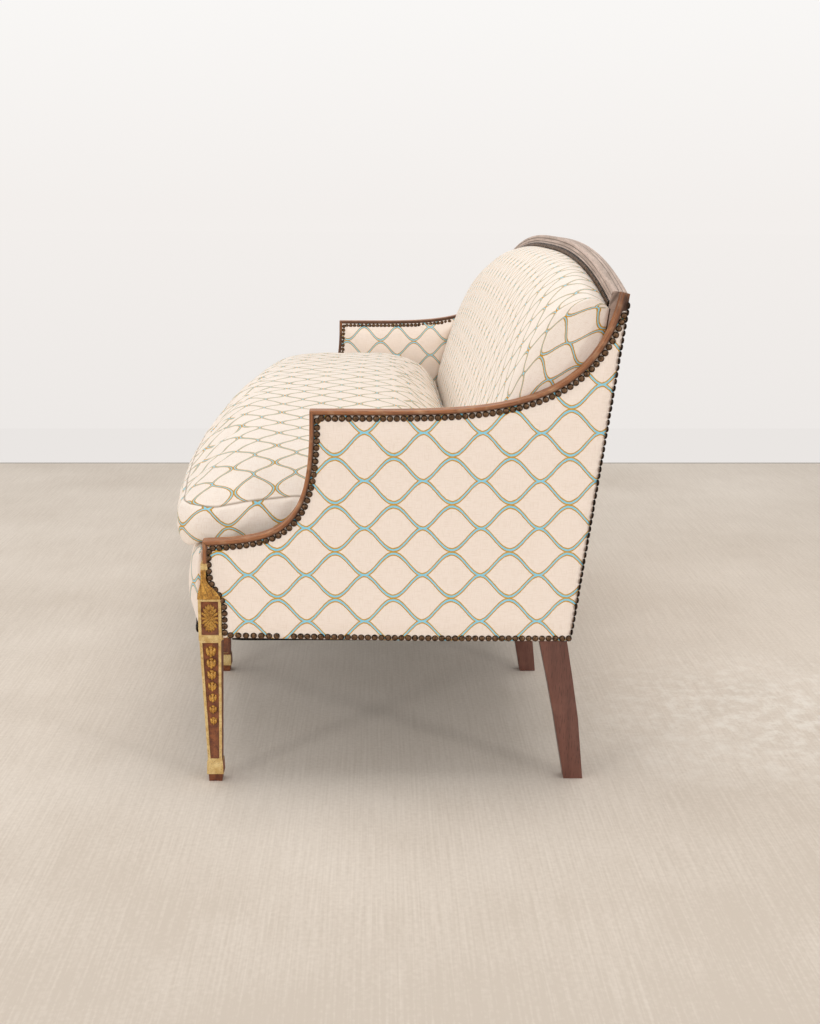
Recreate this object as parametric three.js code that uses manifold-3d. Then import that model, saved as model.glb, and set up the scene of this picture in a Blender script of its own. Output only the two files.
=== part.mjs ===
// Camelback sofa with a bowed front, in millimetres, +Z up, front towards -Y.
// A beech frame carries webbing, a padded deck, tight arms and back, and one loose bench cushion.
// Moulded show-wood rails sweep from the low front corners up to a camel-hump crest rail.
// Places across the sofa (X) are measured from its middle, depths (Y) from the front corner
// of the upholstery, heights (Z) from the floor; the group is centred on its feet at the end.
import * as THREE from 'three';
import { mergeVertices } from 'three/addons/utils/BufferGeometryUtils.js';
import Module from 'manifold-3d';

const wasm = await Module();
wasm.setup();

// Overall sizes
const sofa_length = 2000;
const body_depth = 637;
const underside_height = 263;
const low_corner_height = 439;
const arm_height = 665;
const crest_corner_height = 856;
const crest_rise = 79;
const front_bow = 55;
const back_lean = 0.139;
const arm_front_setback = 185;

// Fits
const joint_gap = 0.3;
const cut_overrun = 20;

// Seat frame boards
const rail_thickness = 26;
const end_rail_thickness = 24;
const bow_steps = 24;
const rail_lift = 3;
const stretcher_height = 80;
const stretcher_drop = 27;
const corner_block_leg = 60;
const corner_block_height = 90;
const corner_block_lift = 24;
const inner_leg_distance = 360;

// Moulded arm rail section
const show_width = 30;
const show_depth = 8;
const show_round = 1.5;
const tongue_width = 20;
const outer_rabbet = 6.3;
const arm_rail_depth = 32;
const bead_width = 3.5;
const bead_groove_width = 1.6;
const bead_groove_depth = 1;

// Arm rail curves, as shares of each curve's run and rise
const swoop_shares = [[0.741, 0.024], [1.007, 0.077]];
const sweep_shares = [[0.5, 0.01], [0.889, 0.056]];
const arm_flat_length = 135;
const sweep_end_setback = 14.6;
const swoop_steps = 16;
const sweep_steps = 20;
const mitre_reach_share = 1.2;

// Crest rail section and hump
const crest_thickness = 27;
const crest_front_height = 30;
const crest_rear_height = 10;
const crest_depth = 72;
const crest_front_rabbet = 3;
const crest_round = 4;
const reed_pitch = 7.5;
const reed_groove = 1.6;
const reed_groove_depth = 1.2;
const hump_power_share = 2.6;
const reed_count = 3;
const crest_steps = 34;

// Front legs
const leg_block_width = 40;
const leg_block_projection = 10;
const leg_block_height = 73;
const shoulder_height = 33;
const shoulder_shares = [[0.3, 0.6], [0.65, 0.2]];
const neck_depth = 8;
const neck_projection = 3;
const neck_height = 20;
const collar_height = 12;
const collar_proud = 1;
const leg_core_width = 34;
const leg_top_width = 38;
const leg_bottom_width = 25;
const foot_width = 28;
const foot_flare = 1.5;
const foot_height = 24;
const tip_width = 23;
const tip_height = 14;
const foot_setback = 3;
const panel_margin = 5;
const panel_end_margin = 4;
const panel_recess = 2.5;
const field_bottom_margin = 10;
const field_top_margin = 2.5;

// Back legs and posts
const back_leg_width = 34;
const back_leg_foot_width = 29;
const back_leg_shape_shares = [[0, 0, 0.7], [0.44, 0.4, 0.88], [0.72, 0.69, 0.94], [1, 1, 1]];
const back_leg_rake = 51;
const back_leg_foot_inset = 8;
const back_leg_setback = 54;
const post_seat_thickness = 45;
const post_shoulder_rise = 18;
const inner_back_leg_advance = 19;
const inner_back_head_height = 116;
const upright_width = 60;

// Arm tacking rails
const tack_rail_height = 25;
const tack_rail_lift = 43;

// Upholstered panels
const panel_thickness = 5;
const panel_inset = 1;
const panel_lift = 1;
const panel_head_drop = 20;
const panel_notch_shares = [0.62, 0.36];
const back_panel_steps = 10;
const border_base = 5;
const border_crown = 22;
const border_lower = 6;
const border_fullness_share = 0.6;
const border_end_share = 0.1;
const border_least_share = 0.02;
const border_steps = 28;
const border_profile_steps = 9;
const dust_cover_thickness = 1.4;
const deck_thickness = 10;
const deck_front_inset = 12;

// Inside arm pads
const arm_pad_thickness = 36;
const arm_pad_edge = 15;
const arm_pad_lead = 25;
const arm_pad_centre_setback = 15;
const arm_pad_back_clearance = 7;
const arm_pad_ring_shares = [[0.985, 0.62], [0.93, 0.86], [0.78, 0.97], [0.45, 1]];

// Tight back pad
const back_pad_thickness = 174;
const back_pad_left_thickness = 160;
const back_pad_slim_until = 300;
const back_pad_full_from = 960;
const back_pad_end_round = 26;
const back_pad_steps = 38;
const back_pad_profile_steps = 15;
const back_pad_full_shares = [
  [0, 0.93], [0.15, 1], [0.45, 0.905], [0.67, 0.8], [0.85, 0.655], [0.97, 0.47],
  [1.025, 0.26], [1.02, 0.1], [1, 0.015],
];
const back_pad_slim_shares = [
  [0, 0.93], [0.15, 1], [0.45, 0.89], [0.67, 0.76], [0.85, 0.58], [0.95, 0.36],
  [0.985, 0.2], [1, 0.08], [1, 0.015],
];

// Loose bench cushion
const cushion_clearance = 3;
const cushion_edge_height = 74;
const cushion_end_crown = 72;
const cushion_middle_crown = 104;
const cushion_front_overhang = 40;
const cushion_corner_radius = 38;
const cushion_side_bulge = 8;
const cushion_waist = 9;
const cushion_waist_power_share = 8;
const cushion_long_steps = 22;
const cushion_short_steps = 7;
const cushion_corner_steps = 4;
const cushion_wall_shares = [[0, -1.2], [0.12, -0.2], [0.35, 0.75], [0.6, 1], [0.85, 0.6], [1, 0]];
const cushion_ring_shares = [0.02, 0.06, 0.13, 0.24, 0.38, 0.55, 0.74, 0.92];
const cushion_end_power_share = 20;
const cushion_front_power_share = 4.2;
const cushion_rear_power_share = 4.5;
const cushion_rear_drop_share = 0.8;

// Webbing
const strap_width = 50;
const strap_thickness = 1.6;
const seat_strap_count = 12;
const seat_strap_inset = 4;
const long_strap_count = 3;
const back_strap_count = 4;
const back_strap_lift = 63;
const back_strap_pitch = 62;

// Places worked out from the sizes above
const half_length = sofa_length / 2;
const frame_half = half_length - outer_rabbet;
const inner_leg_advance = bowAt(inner_leg_distance);
const sweep_start = arm_front_setback + arm_flat_length;
const rail_bottom = underside_height + rail_lift;
const rail_top = low_corner_height - arm_rail_depth - joint_gap;
const lean = new THREE.Vector3(0, back_lean, 1).normalize();
const forward = new THREE.Vector3(0, -lean.z, lean.y);
const frame_back_inset = panel_thickness + joint_gap;
const frame_front_inset = crest_thickness - crest_front_rabbet;
const end_rail_inner = frame_half - end_rail_thickness;
const post_inner = frame_half - back_leg_width;
const long_strap_top = rail_top + joint_gap + 2 * strap_thickness + 2 * joint_gap;
const deck_top = long_strap_top + joint_gap + deck_thickness;
const block_bottom = underside_height - panel_lift;
const block_top = block_bottom + leg_block_height;
const collar_top = block_top + shoulder_height + neck_height + collar_height;
const leg_core_depth = arm_rail_depth;

// Finishes
const walnut = new THREE.MeshStandardMaterial({ color: 0x8a5a3c, roughness: 0.5, metalness: 0 });
const weathered_walnut = new THREE.MeshStandardMaterial({ color: 0xa08878, roughness: 0.6, metalness: 0 });
const gilt = new THREE.MeshStandardMaterial({ color: 0xc9a155, roughness: 0.45, metalness: 0.2 });
const mahogany = new THREE.MeshStandardMaterial({ color: 0x6b4438, roughness: 0.45, metalness: 0 });
const beech = new THREE.MeshStandardMaterial({ color: 0xc8a981, roughness: 0.75, metalness: 0 });
const linen = new THREE.MeshStandardMaterial({ color: 0xefe0d0, roughness: 0.95, metalness: 0 });
const jute = new THREE.MeshStandardMaterial({ color: 0xa88a5c, roughness: 0.95, metalness: 0 });
const calico = new THREE.MeshStandardMaterial({ color: 0xe6dcc8, roughness: 0.95, metalness: 0 });
const black_cambric = new THREE.MeshStandardMaterial({ color: 0x1c1b1a, roughness: 0.95, metalness: 0 });

// Geometry tools

/** Six times the signed volume of a closed indexed geometry. */
function signedVolume(geometry) {
  const position = geometry.getAttribute('position');
  const index = geometry.getIndex();
  const corner = [new THREE.Vector3(), new THREE.Vector3(), new THREE.Vector3()];
  let total = 0;
  for (let i = 0; i < index.count; i += 3) {
    corner.forEach((point, k) => point.fromBufferAttribute(position, index.getX(i + k)));
    total += corner[0].dot(corner[1].cross(corner[2]));
  }
  return total;
}

/** Turns every face of an indexed geometry over. */
function flipFaces(geometry) {
  const index = geometry.getIndex();
  for (let i = 0; i < index.count; i += 3) {
    const first = index.getX(i);
    index.setX(i, index.getX(i + 1));
    index.setX(i + 1, first);
  }
  return geometry;
}

/** A closed geometry with shared corners and its faces pointing out. */
function closed(geometry) {
  geometry.deleteAttribute('normal');
  geometry.deleteAttribute('uv');
  const merged = mergeVertices(geometry, 1e-4);
  if (signedVolume(merged) < 0) flipFaces(merged);
  return merged;
}

/** Joins rings of points, all of one count, into a closed loft with flat ends. */
function loft(rings, end_outline = null) {
  const count = rings[0].length;
  const vertices = rings.flat().flatMap((point) => [point.x, point.y, point.z]);
  const faces = [];
  for (let r = 0; r + 1 < rings.length; r += 1) {
    for (let i = 0; i < count; i += 1) {
      const a = r * count + i;
      const b = r * count + (i + 1) % count;
      faces.push(a, b, b + count, a, b + count, a + count);
    }
  }
  const outline = end_outline ?? rings[0].map((point) => new THREE.Vector2(point.x, point.y));
  const last = (rings.length - 1) * count;
  const clockwise = THREE.ShapeUtils.isClockWise(outline);
  for (const triangle of THREE.ShapeUtils.triangulateShape(outline, [])) {
    const [a, b, c] = clockwise ? triangle.reverse() : triangle;
    faces.push(c, b, a, last + a, last + b, last + c);
  }
  const geometry = new THREE.BufferGeometry();
  geometry.setAttribute('position', new THREE.Float32BufferAttribute(vertices, 3));
  geometry.setIndex(faces);
  return orientLoft(geometry);
}

/** Turns a loft's faces out, whichever way its rings run. */
function orientLoft(geometry) {
  if (signedVolume(geometry) < 0) flipFaces(geometry);
  return geometry;
}

/** A side outline of (depth, height) points, pushed across the sofa from one X to another. */
function acrossSofa(points, x_from, x_to) {
  const shape = new THREE.Shape(points.map(([y, z]) => new THREE.Vector2(y, z)));
  const geometry = new THREE.ExtrudeGeometry(shape, { depth: x_to - x_from, bevelEnabled: false });
  const basis = new THREE.Matrix4().makeBasis(
    new THREE.Vector3(0, 1, 0), new THREE.Vector3(0, 0, 1), new THREE.Vector3(1, 0, 0));
  geometry.applyMatrix4(basis.setPosition(x_from, 0, 0));
  return closed(geometry);
}

/** A plan outline of (x, y) points, raised from one height to another. */
function upright(points, z_from, z_to) {
  const shape = new THREE.Shape(points.map(([x, y]) => new THREE.Vector2(x, y)));
  const geometry = new THREE.ExtrudeGeometry(shape, { depth: z_to - z_from, bevelEnabled: false });
  geometry.translate(0, 0, z_from);
  return closed(geometry);
}

/** A box between two corners. */
function boxBetween(low, high) {
  const outline = [[low[0], low[1]], [high[0], low[1]], [high[0], high[1]], [low[0], high[1]]];
  return upright(outline, low[2], high[2]);
}

/** The point above the floor on the raked back, a distance in front of its rear face. */
function onBack(x, height, inset) {
  const start = new THREE.Vector3(x, body_depth, underside_height);
  const along = (height - underside_height) / lean.z;
  return start.addScaledVector(lean, along).addScaledVector(forward, inset);
}

/** Depth of a plane parallel to the rear face, at a height. */
function backDepth(height, inset) {
  return body_depth + back_lean * (height - underside_height) - inset / lean.z;
}

/** An outline of (x, height) points on the raked back, with a thickness between two insets. */
function onBackPlate(points, inset_from, inset_to) {
  const outline = points.map(([x, z]) => new THREE.Vector2(x, z));
  const rings = [inset_from, inset_to].map(
    (inset) => points.map(([x, z]) => onBack(x, z, inset)));
  return loft(rings, outline);
}

/** A geometry as a manifold solid. */
function solid(geometry) {
  const merged = closed(geometry.clone());
  const mesh = new wasm.Mesh({
    numProp: 3,
    vertProperties: new Float32Array(merged.getAttribute('position').array),
    triVerts: new Uint32Array(merged.getIndex().array),
  });
  return new wasm.Manifold(mesh);
}

/** A manifold solid as a geometry. */
function geometryOf(body) {
  const mesh = body.getMesh();
  const geometry = new THREE.BufferGeometry();
  geometry.setAttribute('position', new THREE.BufferAttribute(mesh.vertProperties, 3));
  geometry.setIndex(new THREE.BufferAttribute(mesh.triVerts, 1));
  return geometry;
}

/** The first geometry less all the others. */
function cut(geometry, ...tools) {
  return geometryOf(tools.reduce((body, tool) => body.subtract(solid(tool)), solid(geometry)));
}

/** Several geometries joined in one body. */
function join(...geometries) {
  const [first, ...others] = geometries.map(solid);
  return geometryOf(others.reduce((body, other) => body.add(other), first));
}

/** A copy on the other side of the sofa. */
function mirrored(geometry) {
  return flipFaces(geometry.clone().scale(-1, 1, 1));
}

// Shared lines of the sofa

/** How far the front line stands forward of its corners at a place along the sofa. */
function bowAt(x) {
  return front_bow * (1 - (x / half_length) ** 2);
}

/** Places along the sofa from one end of a bowed line to the other. */
function placesAlong(reach) {
  return Array.from({ length: bow_steps + 1 }, (_, i) => reach * (2 * i / bow_steps - 1));
}

/** Height of the crest's rear arris at a place along the sofa. */
function crestHeight(x) {
  return crest_corner_height + crest_rise * (1 - Math.abs(x / half_length) ** hump_power_share);
}

/** A cubic curve from one corner to another, its two handles given as shares of run and rise. */
function shareCurve(from, to, shares) {
  const handle = ([run, rise]) => new THREE.Vector2(
    from[0] + run * (to[0] - from[0]), from[1] + rise * (to[1] - from[1]));
  return new THREE.CubicBezierCurve(
    new THREE.Vector2(...from), handle(shares[0]), handle(shares[1]), new THREE.Vector2(...to));
}

/** A path without the points that its mitred ends slide past. */
function clearOfMitres(path) {
  const first = path[0];
  const last = path[path.length - 1];
  const reach = arm_rail_depth * mitre_reach_share;
  const isClear = (p) => p.distanceTo(first) > reach && p.distanceTo(last) > reach;
  return path.filter((p) => p === first || p === last || isClear(p));
}

/** The rail's upper arris on the swooped front, from the low corner to the arm's front. */
function swoopPath() {
  const from = [0, low_corner_height];
  const to = [arm_front_setback, arm_height];
  return clearOfMitres(shareCurve(from, to, swoop_shares).getPoints(swoop_steps));
}

/** The rail's upper arris along the arm, from its front corner up to the crest. */
function sweepPath() {
  const from = [sweep_start, arm_height];
  const rear = backDepth(crest_corner_height, 0);
  const to = [rear - sweep_end_setback, crest_corner_height];
  const corner = new THREE.Vector2(arm_front_setback, arm_height);
  return [corner, ...shareCurve(from, to, sweep_shares).getPoints(sweep_steps)];
}

/** Unit tangent and outward normal at a point of an open path. */
function pathFrame(path, i) {
  const before = path[Math.max(i - 1, 0)];
  const after = path[Math.min(i + 1, path.length - 1)];
  const tangent = after.clone().sub(before).normalize();
  return { tangent, normal: new THREE.Vector2(-tangent.y, tangent.x) };
}

/** A path moved inwards by a distance, its mitred ends slid along by turn shares of it. */
function insetPath(path, distance, start_turn, end_turn) {
  return path.map((point, i) => {
    const { tangent, normal } = pathFrame(path, i);
    const turn = i === 0 ? start_turn : i === path.length - 1 ? -end_turn : 0;
    return point.clone().addScaledVector(normal, -distance).addScaledVector(tangent, turn * distance);
  });
}

/** Section of the moulded rail: inset from its outer face, and depth below its top. */
function railSection() {
  const groove = (from) => [
    [from, 0], [from + bead_groove_width / 2, bead_groove_depth], [from + bead_groove_width, 0]];
  return [
    [0, show_depth], [0, show_round], [show_round, 0],
    ...groove(bead_width),
    ...groove(show_width - bead_width - bead_groove_width),
    [show_width - show_round, 0], [show_width, show_round], [show_width, show_depth],
    [outer_rabbet + tongue_width, show_depth], [outer_rabbet + tongue_width, arm_rail_depth],
    [outer_rabbet, arm_rail_depth], [outer_rabbet, show_depth],
  ];
}

/** The moulded rail swept along a side path on the right-hand end, mitred by turn shares. */
function railSweep(path, start_turn, end_turn) {
  const section = railSection();
  const lines = section.map(([, depth]) => insetPath(path, depth, start_turn, end_turn));
  const rings = path.map((_, i) => section.map(
    ([inset], k) => new THREE.Vector3(half_length - inset, lines[k][i].x, lines[k][i].y)));
  return loft(rings, section.map(([inset, depth]) => new THREE.Vector2(inset, depth)));
}

/** Everything above the arm rail's underside, in side view, as a cutting tool. */
function aboveArmRail() {
  const under = insetPath(sweepPath(), arm_rail_depth + joint_gap, 1, 0);
  const high = crest_corner_height + crest_rise;
  const last = under[under.length - 1];
  const outline = [...under.map((p) => [p.x, p.y]), [last.x + cut_overrun, high], [under[0].x, high]];
  return acrossSofa(outline, post_inner - cut_overrun, half_length + cut_overrun);
}

// Seat frame

/** The bowed front seat rail, notched over the heads of the two inner legs. */
function frontSeatRail() {
  const reach = half_length - leg_block_width - joint_gap;
  const places = placesAlong(reach);
  const front = places.map((x) => [x, -bowAt(x)]);
  const back = places.map((x) => [x, rail_thickness - bowAt(x)]).reverse();
  const board = upright([...front, ...back], rail_bottom, rail_top);
  return cut(board, innerHead(1), innerHead(-1));
}

/** The space that an inner front leg's head takes, with its clearance. */
function innerHead(side) {
  const half = leg_block_width / 2 + joint_gap;
  const front = -leg_block_projection - inner_leg_advance;
  return boxBetween(
    [side * inner_leg_distance - half, front - cut_overrun, block_bottom - cut_overrun],
    [side * inner_leg_distance + half, front + leg_block_width + joint_gap, block_top + joint_gap]);
}

/** The back seat rail, raked with the back. */
function backSeatRail() {
  const reach = post_inner - joint_gap;
  const front_inset = frame_back_inset + rail_thickness;
  const corner = (height, inset) => [backDepth(height, inset), height];
  return acrossSofa([
    corner(rail_bottom, front_inset), corner(rail_bottom, frame_back_inset),
    corner(rail_top, frame_back_inset), corner(rail_top, front_inset),
  ], -reach, reach);
}

/** Front face of the back corner post at seat height. */
function postFront(height) {
  const low = body_depth - back_leg_setback;
  const high = backDepth(rail_top, frame_back_inset + post_seat_thickness);
  return THREE.MathUtils.mapLinear(height, underside_height, rail_top, low, high);
}

/** The right-hand end seat rail, from the front leg's core to the back post. */
function endSeatRail() {
  const front = leg_core_depth + joint_gap;
  return acrossSofa([
    [front, rail_bottom], [postFront(rail_bottom) - joint_gap, rail_bottom],
    [postFront(rail_top) - joint_gap, rail_top], [front, rail_top],
  ], end_rail_inner, frame_half);
}

/** A cross rail from an inner front leg's head to the inner back leg. */
function seatStretcher() {
  const front = leg_block_width - leg_block_projection - inner_leg_advance + joint_gap;
  const back = body_depth - back_leg_setback - inner_back_leg_advance - joint_gap;
  const top = rail_top - stretcher_drop;
  return boxBetween(
    [inner_leg_distance - rail_thickness / 2, front, top - stretcher_height],
    [inner_leg_distance + rail_thickness / 2, back, top]);
}

/** Glue block in the right-hand front corner of the seat frame. */
function frontCornerBlock() {
  const side = end_rail_inner - joint_gap;
  const core = half_length - leg_block_width - joint_gap;
  const behind_core = leg_core_depth + joint_gap;
  const far = core - corner_block_leg;
  const behindRail = (x) => rail_thickness - bowAt(x) + joint_gap;
  const low = rail_bottom + corner_block_lift;
  return upright([
    [side, behind_core + corner_block_leg], [far, behindRail(far)], [core, behindRail(core)],
    [core, behind_core], [side, behind_core],
  ], low, low + corner_block_height);
}

/** Glue block in the right-hand back corner of the seat frame. */
function backCornerBlock() {
  const side = end_rail_inner - joint_gap;
  const post = post_inner - joint_gap;
  const low = rail_bottom + corner_block_lift;
  const behind = backDepth(low, frame_back_inset + rail_thickness) - joint_gap;
  const before_post = postFront(low) - joint_gap;
  return upright([
    [side, before_post - corner_block_leg], [side, before_post], [post, before_post],
    [post, behind], [post - corner_block_leg, behind],
  ], low, low + corner_block_height);
}

// Legs

/** A level rectangle of points about a middle. */
function rectangleRing(x, y, z, width, depth) {
  const corners = [[-1, -1], [1, -1], [1, 1], [-1, 1]];
  return corners.map(([i, j]) => new THREE.Vector3(x + i * width / 2, y + j * depth / 2, z));
}

/** Depth of a front leg's axis at a height; the shaft runs back a little towards its foot. */
function legAxisAt(y, z) {
  return y + foot_setback * (1 - z / block_bottom);
}

/** The square tapered shaft of a front leg with its foot block and tip. */
function taperedLeg(x, y) {
  const foot_top = tip_height + foot_height;
  const ring = (z, width) => rectangleRing(x, legAxisAt(y, z), z, width, width);
  return loft([
    ring(0, tip_width), ring(tip_height, tip_width + foot_flare), ring(tip_height, foot_width + foot_flare),
    ring(foot_top, foot_width), ring(foot_top, leg_bottom_width), ring(block_bottom, leg_top_width),
  ]);
}

/** Plan outline of a sunk field's cutting tool, from its deep face out past the leg's face. */
function sunkOutline(x, y, out_x, out_y, deep, half, wide) {
  const beyond = half + cut_overrun;
  const outline = [[deep, -wide], [beyond, -wide], [beyond, wide], [deep, wide]];
  return outline.map(([out, along]) => [
    x + out_x * out - out_y * along, y + out_y * out + out_x * along]);
}

/** The sunk tapering panel on one face of a front leg; the face is named by its outward way. */
function legPanel(x, y, out_x, out_y) {
  const low = tip_height + foot_height + panel_end_margin;
  const high = block_bottom - panel_end_margin;
  const widthAt = (z) => THREE.MathUtils.mapLinear(
    z, tip_height + foot_height, block_bottom, leg_bottom_width, leg_top_width);
  const rings = [low, high].map((z) => {
    const half = widthAt(z) / 2;
    const deep = half - panel_recess;
    const wide = half - panel_margin;
    const outline = sunkOutline(x, legAxisAt(y, z), out_x, out_y, deep, half, wide);
    return outline.map(([px, py]) => new THREE.Vector3(px, py, z));
  });
  return loft(rings);
}

/** The sunk square field on one face of a leg's block. */
function blockField(x, y, out_x, out_y) {
  const half = leg_block_width / 2;
  const wide = half - panel_margin;
  const deep = half - panel_recess;
  const points = sunkOutline(x, y, out_x, out_y, deep, half, wide);
  return upright(points, block_bottom + field_bottom_margin, block_top - field_top_margin);
}

/** The right-hand corner leg: panelled shaft, rosette block, carved shoulder, neck and collar. */
function cornerFrontLeg() {
  const x = half_length - leg_block_width / 2;
  const y = leg_block_width / 2 - leg_block_projection;
  const block = boxBetween(
    [x - leg_block_width / 2, y - leg_block_width / 2, block_bottom],
    [x + leg_block_width / 2, y + leg_block_width / 2, block_top]);
  const core = boxBetween(
    [half_length - leg_block_width, show_depth, block_bottom],
    [half_length - leg_block_width + leg_core_width - joint_gap, leg_core_depth, collar_top]);
  const fields = [[1, 0], [0, -1]].map(([i, j]) => blockField(x, y, i, j));
  const panels = [[1, 0], [-1, 0], [0, -1]].map(([i, j]) => legPanel(x, y, i, j));
  return cut(join(taperedLeg(x, y), block, core, cornerShoulder(0)), ...fields, ...panels);
}

/** Shoulder, neck and collar above a corner leg's block, grown all round by a clearance. */
function cornerShoulder(grow) {
  const neck_z = block_top + shoulder_height;
  const collar_z = neck_z + neck_height;
  const ring = (z, width, front, back) => rectangleRing(
    half_length - width / 2, (front + back) / 2, z, width + 2 * grow, back - front + 2 * grow);
  const back = leg_block_width - leg_block_projection;
  const neck_front = -neck_projection;
  const neck_back = neck_front + neck_depth;
  const collar_front = neck_front - collar_proud;
  const middles = shoulder_shares.map(([rise, spread]) => ring(
    block_top + rise * shoulder_height,
    THREE.MathUtils.lerp(show_width, leg_block_width, spread),
    THREE.MathUtils.lerp(neck_front, -leg_block_projection, spread),
    THREE.MathUtils.lerp(neck_back, back, spread)));
  return loft([
    ring(block_top - grow, leg_block_width, -leg_block_projection, back), ...middles,
    ring(neck_z, show_width, neck_front, neck_back), ring(collar_z, show_width, neck_front, neck_back),
    ring(collar_z + collar_proud, show_width + collar_proud, collar_front, show_depth),
    ring(collar_top + grow, show_width + collar_proud, collar_front, show_depth),
  ]);
}

/** An inner front leg: the same shaft and block, housed in the bowed front rail. */
function innerFrontLeg() {
  const x = inner_leg_distance;
  const y = leg_block_width / 2 - leg_block_projection - inner_leg_advance;
  const block = boxBetween(
    [x - leg_block_width / 2, y - leg_block_width / 2, block_bottom],
    [x + leg_block_width / 2, y + leg_block_width / 2, block_top]);
  const panels = [[1, 0], [-1, 0], [0, -1]].map(([i, j]) => legPanel(x, y, i, j));
  return cut(join(taperedLeg(x, y), block), blockField(x, y, 0, -1), ...panels);
}

/** Rings of a plain raked back leg, its outer side at an X, moved forward by an advance. */
function backLegRings(outer, advance, foot_inset) {
  const top_front = body_depth - back_leg_setback - advance;
  const top_depth = backDepth(block_bottom, frame_back_inset) - top_front - advance;
  return back_leg_shape_shares.map(([rise, along, depth_share]) => {
    const width = THREE.MathUtils.lerp(back_leg_foot_width, back_leg_width, rise);
    const inset = (1 - rise) * foot_inset;
    const front = top_front + back_leg_rake * (1 - along);
    const depth = depth_share * top_depth;
    return rectangleRing(outer - inset - width / 2, front + depth / 2, rise * block_bottom, width, depth);
  });
}

/** The right-hand back corner leg and post in one raked piece, under the arm rail. */
function backPost() {
  const x = frame_half - back_leg_width / 2;
  const shoulder = rail_top + post_shoulder_rise;
  const top = crest_corner_height;
  const ring = (z, front, inset) => {
    const back = backDepth(z, inset);
    return rectangleRing(x, (front + back) / 2, z, back_leg_width, back - front);
  };
  const rings = [
    ...backLegRings(frame_half, 0, back_leg_foot_inset),
    ring(rail_top, postFront(rail_top), frame_back_inset),
    ring(shoulder, backDepth(shoulder, frame_front_inset), frame_back_inset),
    ring(top, backDepth(top, frame_front_inset), frame_back_inset),
  ];
  return cut(loft(rings), aboveArmRail());
}

/** An inner back leg with its head bolted against the front of the back seat rail. */
function innerBackLeg() {
  const foot_inset = (back_leg_width - back_leg_foot_width) / 2;
  const rings = backLegRings(inner_leg_distance + back_leg_width / 2, inner_back_leg_advance, foot_inset);
  const front = body_depth - back_leg_setback - inner_back_leg_advance;
  const back = backDepth(rail_bottom, frame_back_inset + rail_thickness) - joint_gap;
  const top = rail_bottom + inner_back_head_height;
  const head = (z, rear) => rectangleRing(
    inner_leg_distance, (front + rear) / 2, z, back_leg_width, rear - front);
  const under_rail = rail_bottom - joint_gap;
  const foot_back = backDepth(block_bottom, frame_back_inset) - inner_back_leg_advance;
  return loft([...rings, head(under_rail, foot_back), head(under_rail, back), head(top, back)]);
}

// Back frame

/** Section of the crest rail: inset from the rear face, and depth below its rear arris. */
function crestSection() {
  const front = crest_thickness;
  const reed = (depth) => [
    [front, depth - reed_groove / 2],
    [front - reed_groove_depth, depth],
    [front, depth + reed_groove / 2],
  ];
  const reeds = Array.from({ length: reed_count }, (_, i) => reed((i + 1) * reed_pitch)).flat();
  return [
    [0, 0], [front - crest_round, 0], [front, crest_round], ...reeds, [front, crest_front_height],
    [frame_front_inset, crest_front_height], [frame_front_inset, crest_depth],
    [frame_back_inset, crest_depth], [frame_back_inset, crest_rear_height], [0, crest_rear_height],
  ];
}

/** The reeded camel-hump crest rail between the upper ends of the arm rails. */
function crestRail() {
  const reach = half_length - show_width - joint_gap;
  const section = crestSection();
  const rings = Array.from({ length: crest_steps + 1 }, (_, i) => {
    const x = reach * Math.sin(Math.PI * (i / crest_steps - 1 / 2));
    return section.map(([inset, depth]) => onBack(x, crestHeight(x), inset).addScaledVector(lean, -depth));
  });
  return loft(rings, section.map(([inset, depth]) => new THREE.Vector2(inset, depth)));
}

/** An inner upright from the back seat rail to the crest rail. */
function backUpright() {
  const low = rail_top + joint_gap;
  const outer = inner_leg_distance + upright_width / 2;
  const inner = inner_leg_distance - upright_width / 2;
  const under = onBack(outer, crestHeight(outer), 0).addScaledVector(lean, -crest_depth - joint_gap).z;
  const outline = [[inner, low], [outer, low], [outer, under], [inner, under]];
  return onBackPlate(outline, frame_back_inset, frame_front_inset);
}

// Arm frame and show rails

/** The short moulded stile between a corner leg's collar and the swooped rail. */
function frontStile() {
  const foot = new THREE.Vector2(0, collar_top + joint_gap);
  const head = new THREE.Vector2(0, low_corner_height - joint_gap / 2);
  return railSweep([foot, head], 0, 1);
}

/** The swooped front rail of the right-hand arm, mitred at both ends. */
function armSwoopRail() {
  const path = swoopPath();
  path[0].x += joint_gap;
  path[path.length - 1].y -= joint_gap / 2;
  return railSweep(path, 1, 1);
}

/** Everything behind the arm rail's rear face: it steps back above the outside back panel. */
function behindArmRail() {
  const step = crestHeight(half_length - show_width) - crest_rear_height;
  const far = backDepth(crest_corner_height, 0) + arm_rail_depth;
  const high = crest_corner_height + cut_overrun;
  return acrossSofa([
    [backDepth(rail_top, frame_back_inset), rail_top], [far, rail_top], [far, high],
    [backDepth(high, 0), high], [backDepth(step, 0), step], [backDepth(step, frame_back_inset), step],
  ], post_inner, half_length + cut_overrun);
}

/** The moulded top rail of the right-hand arm, sweeping up to the crest. */
function armTopRail() {
  const path = sweepPath();
  path[0].x += joint_gap / 2;
  return cut(railSweep(path, 1, 0), behindArmRail());
}

/** The tacking rail low in the right-hand arm, from the swooped rail to the back post. */
function armTackRail() {
  const low = rail_top + tack_rail_lift;
  const high = low + tack_rail_height;
  const front = arm_front_setback + arm_rail_depth + joint_gap;
  const back = (z) => backDepth(z, frame_front_inset) - joint_gap;
  const inner = frame_half - tongue_width;
  return acrossSofa([[front, low], [back(low), low], [back(high), high], [front, high]], inner, frame_half);
}

// Webbing

/** X places of the front-to-back seat straps. */
function seatStrapPlaces() {
  const reach = end_rail_inner - strap_width;
  return Array.from({ length: seat_strap_count }, (_, i) => reach * (2 * i / (seat_strap_count - 1) - 1));
}

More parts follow.
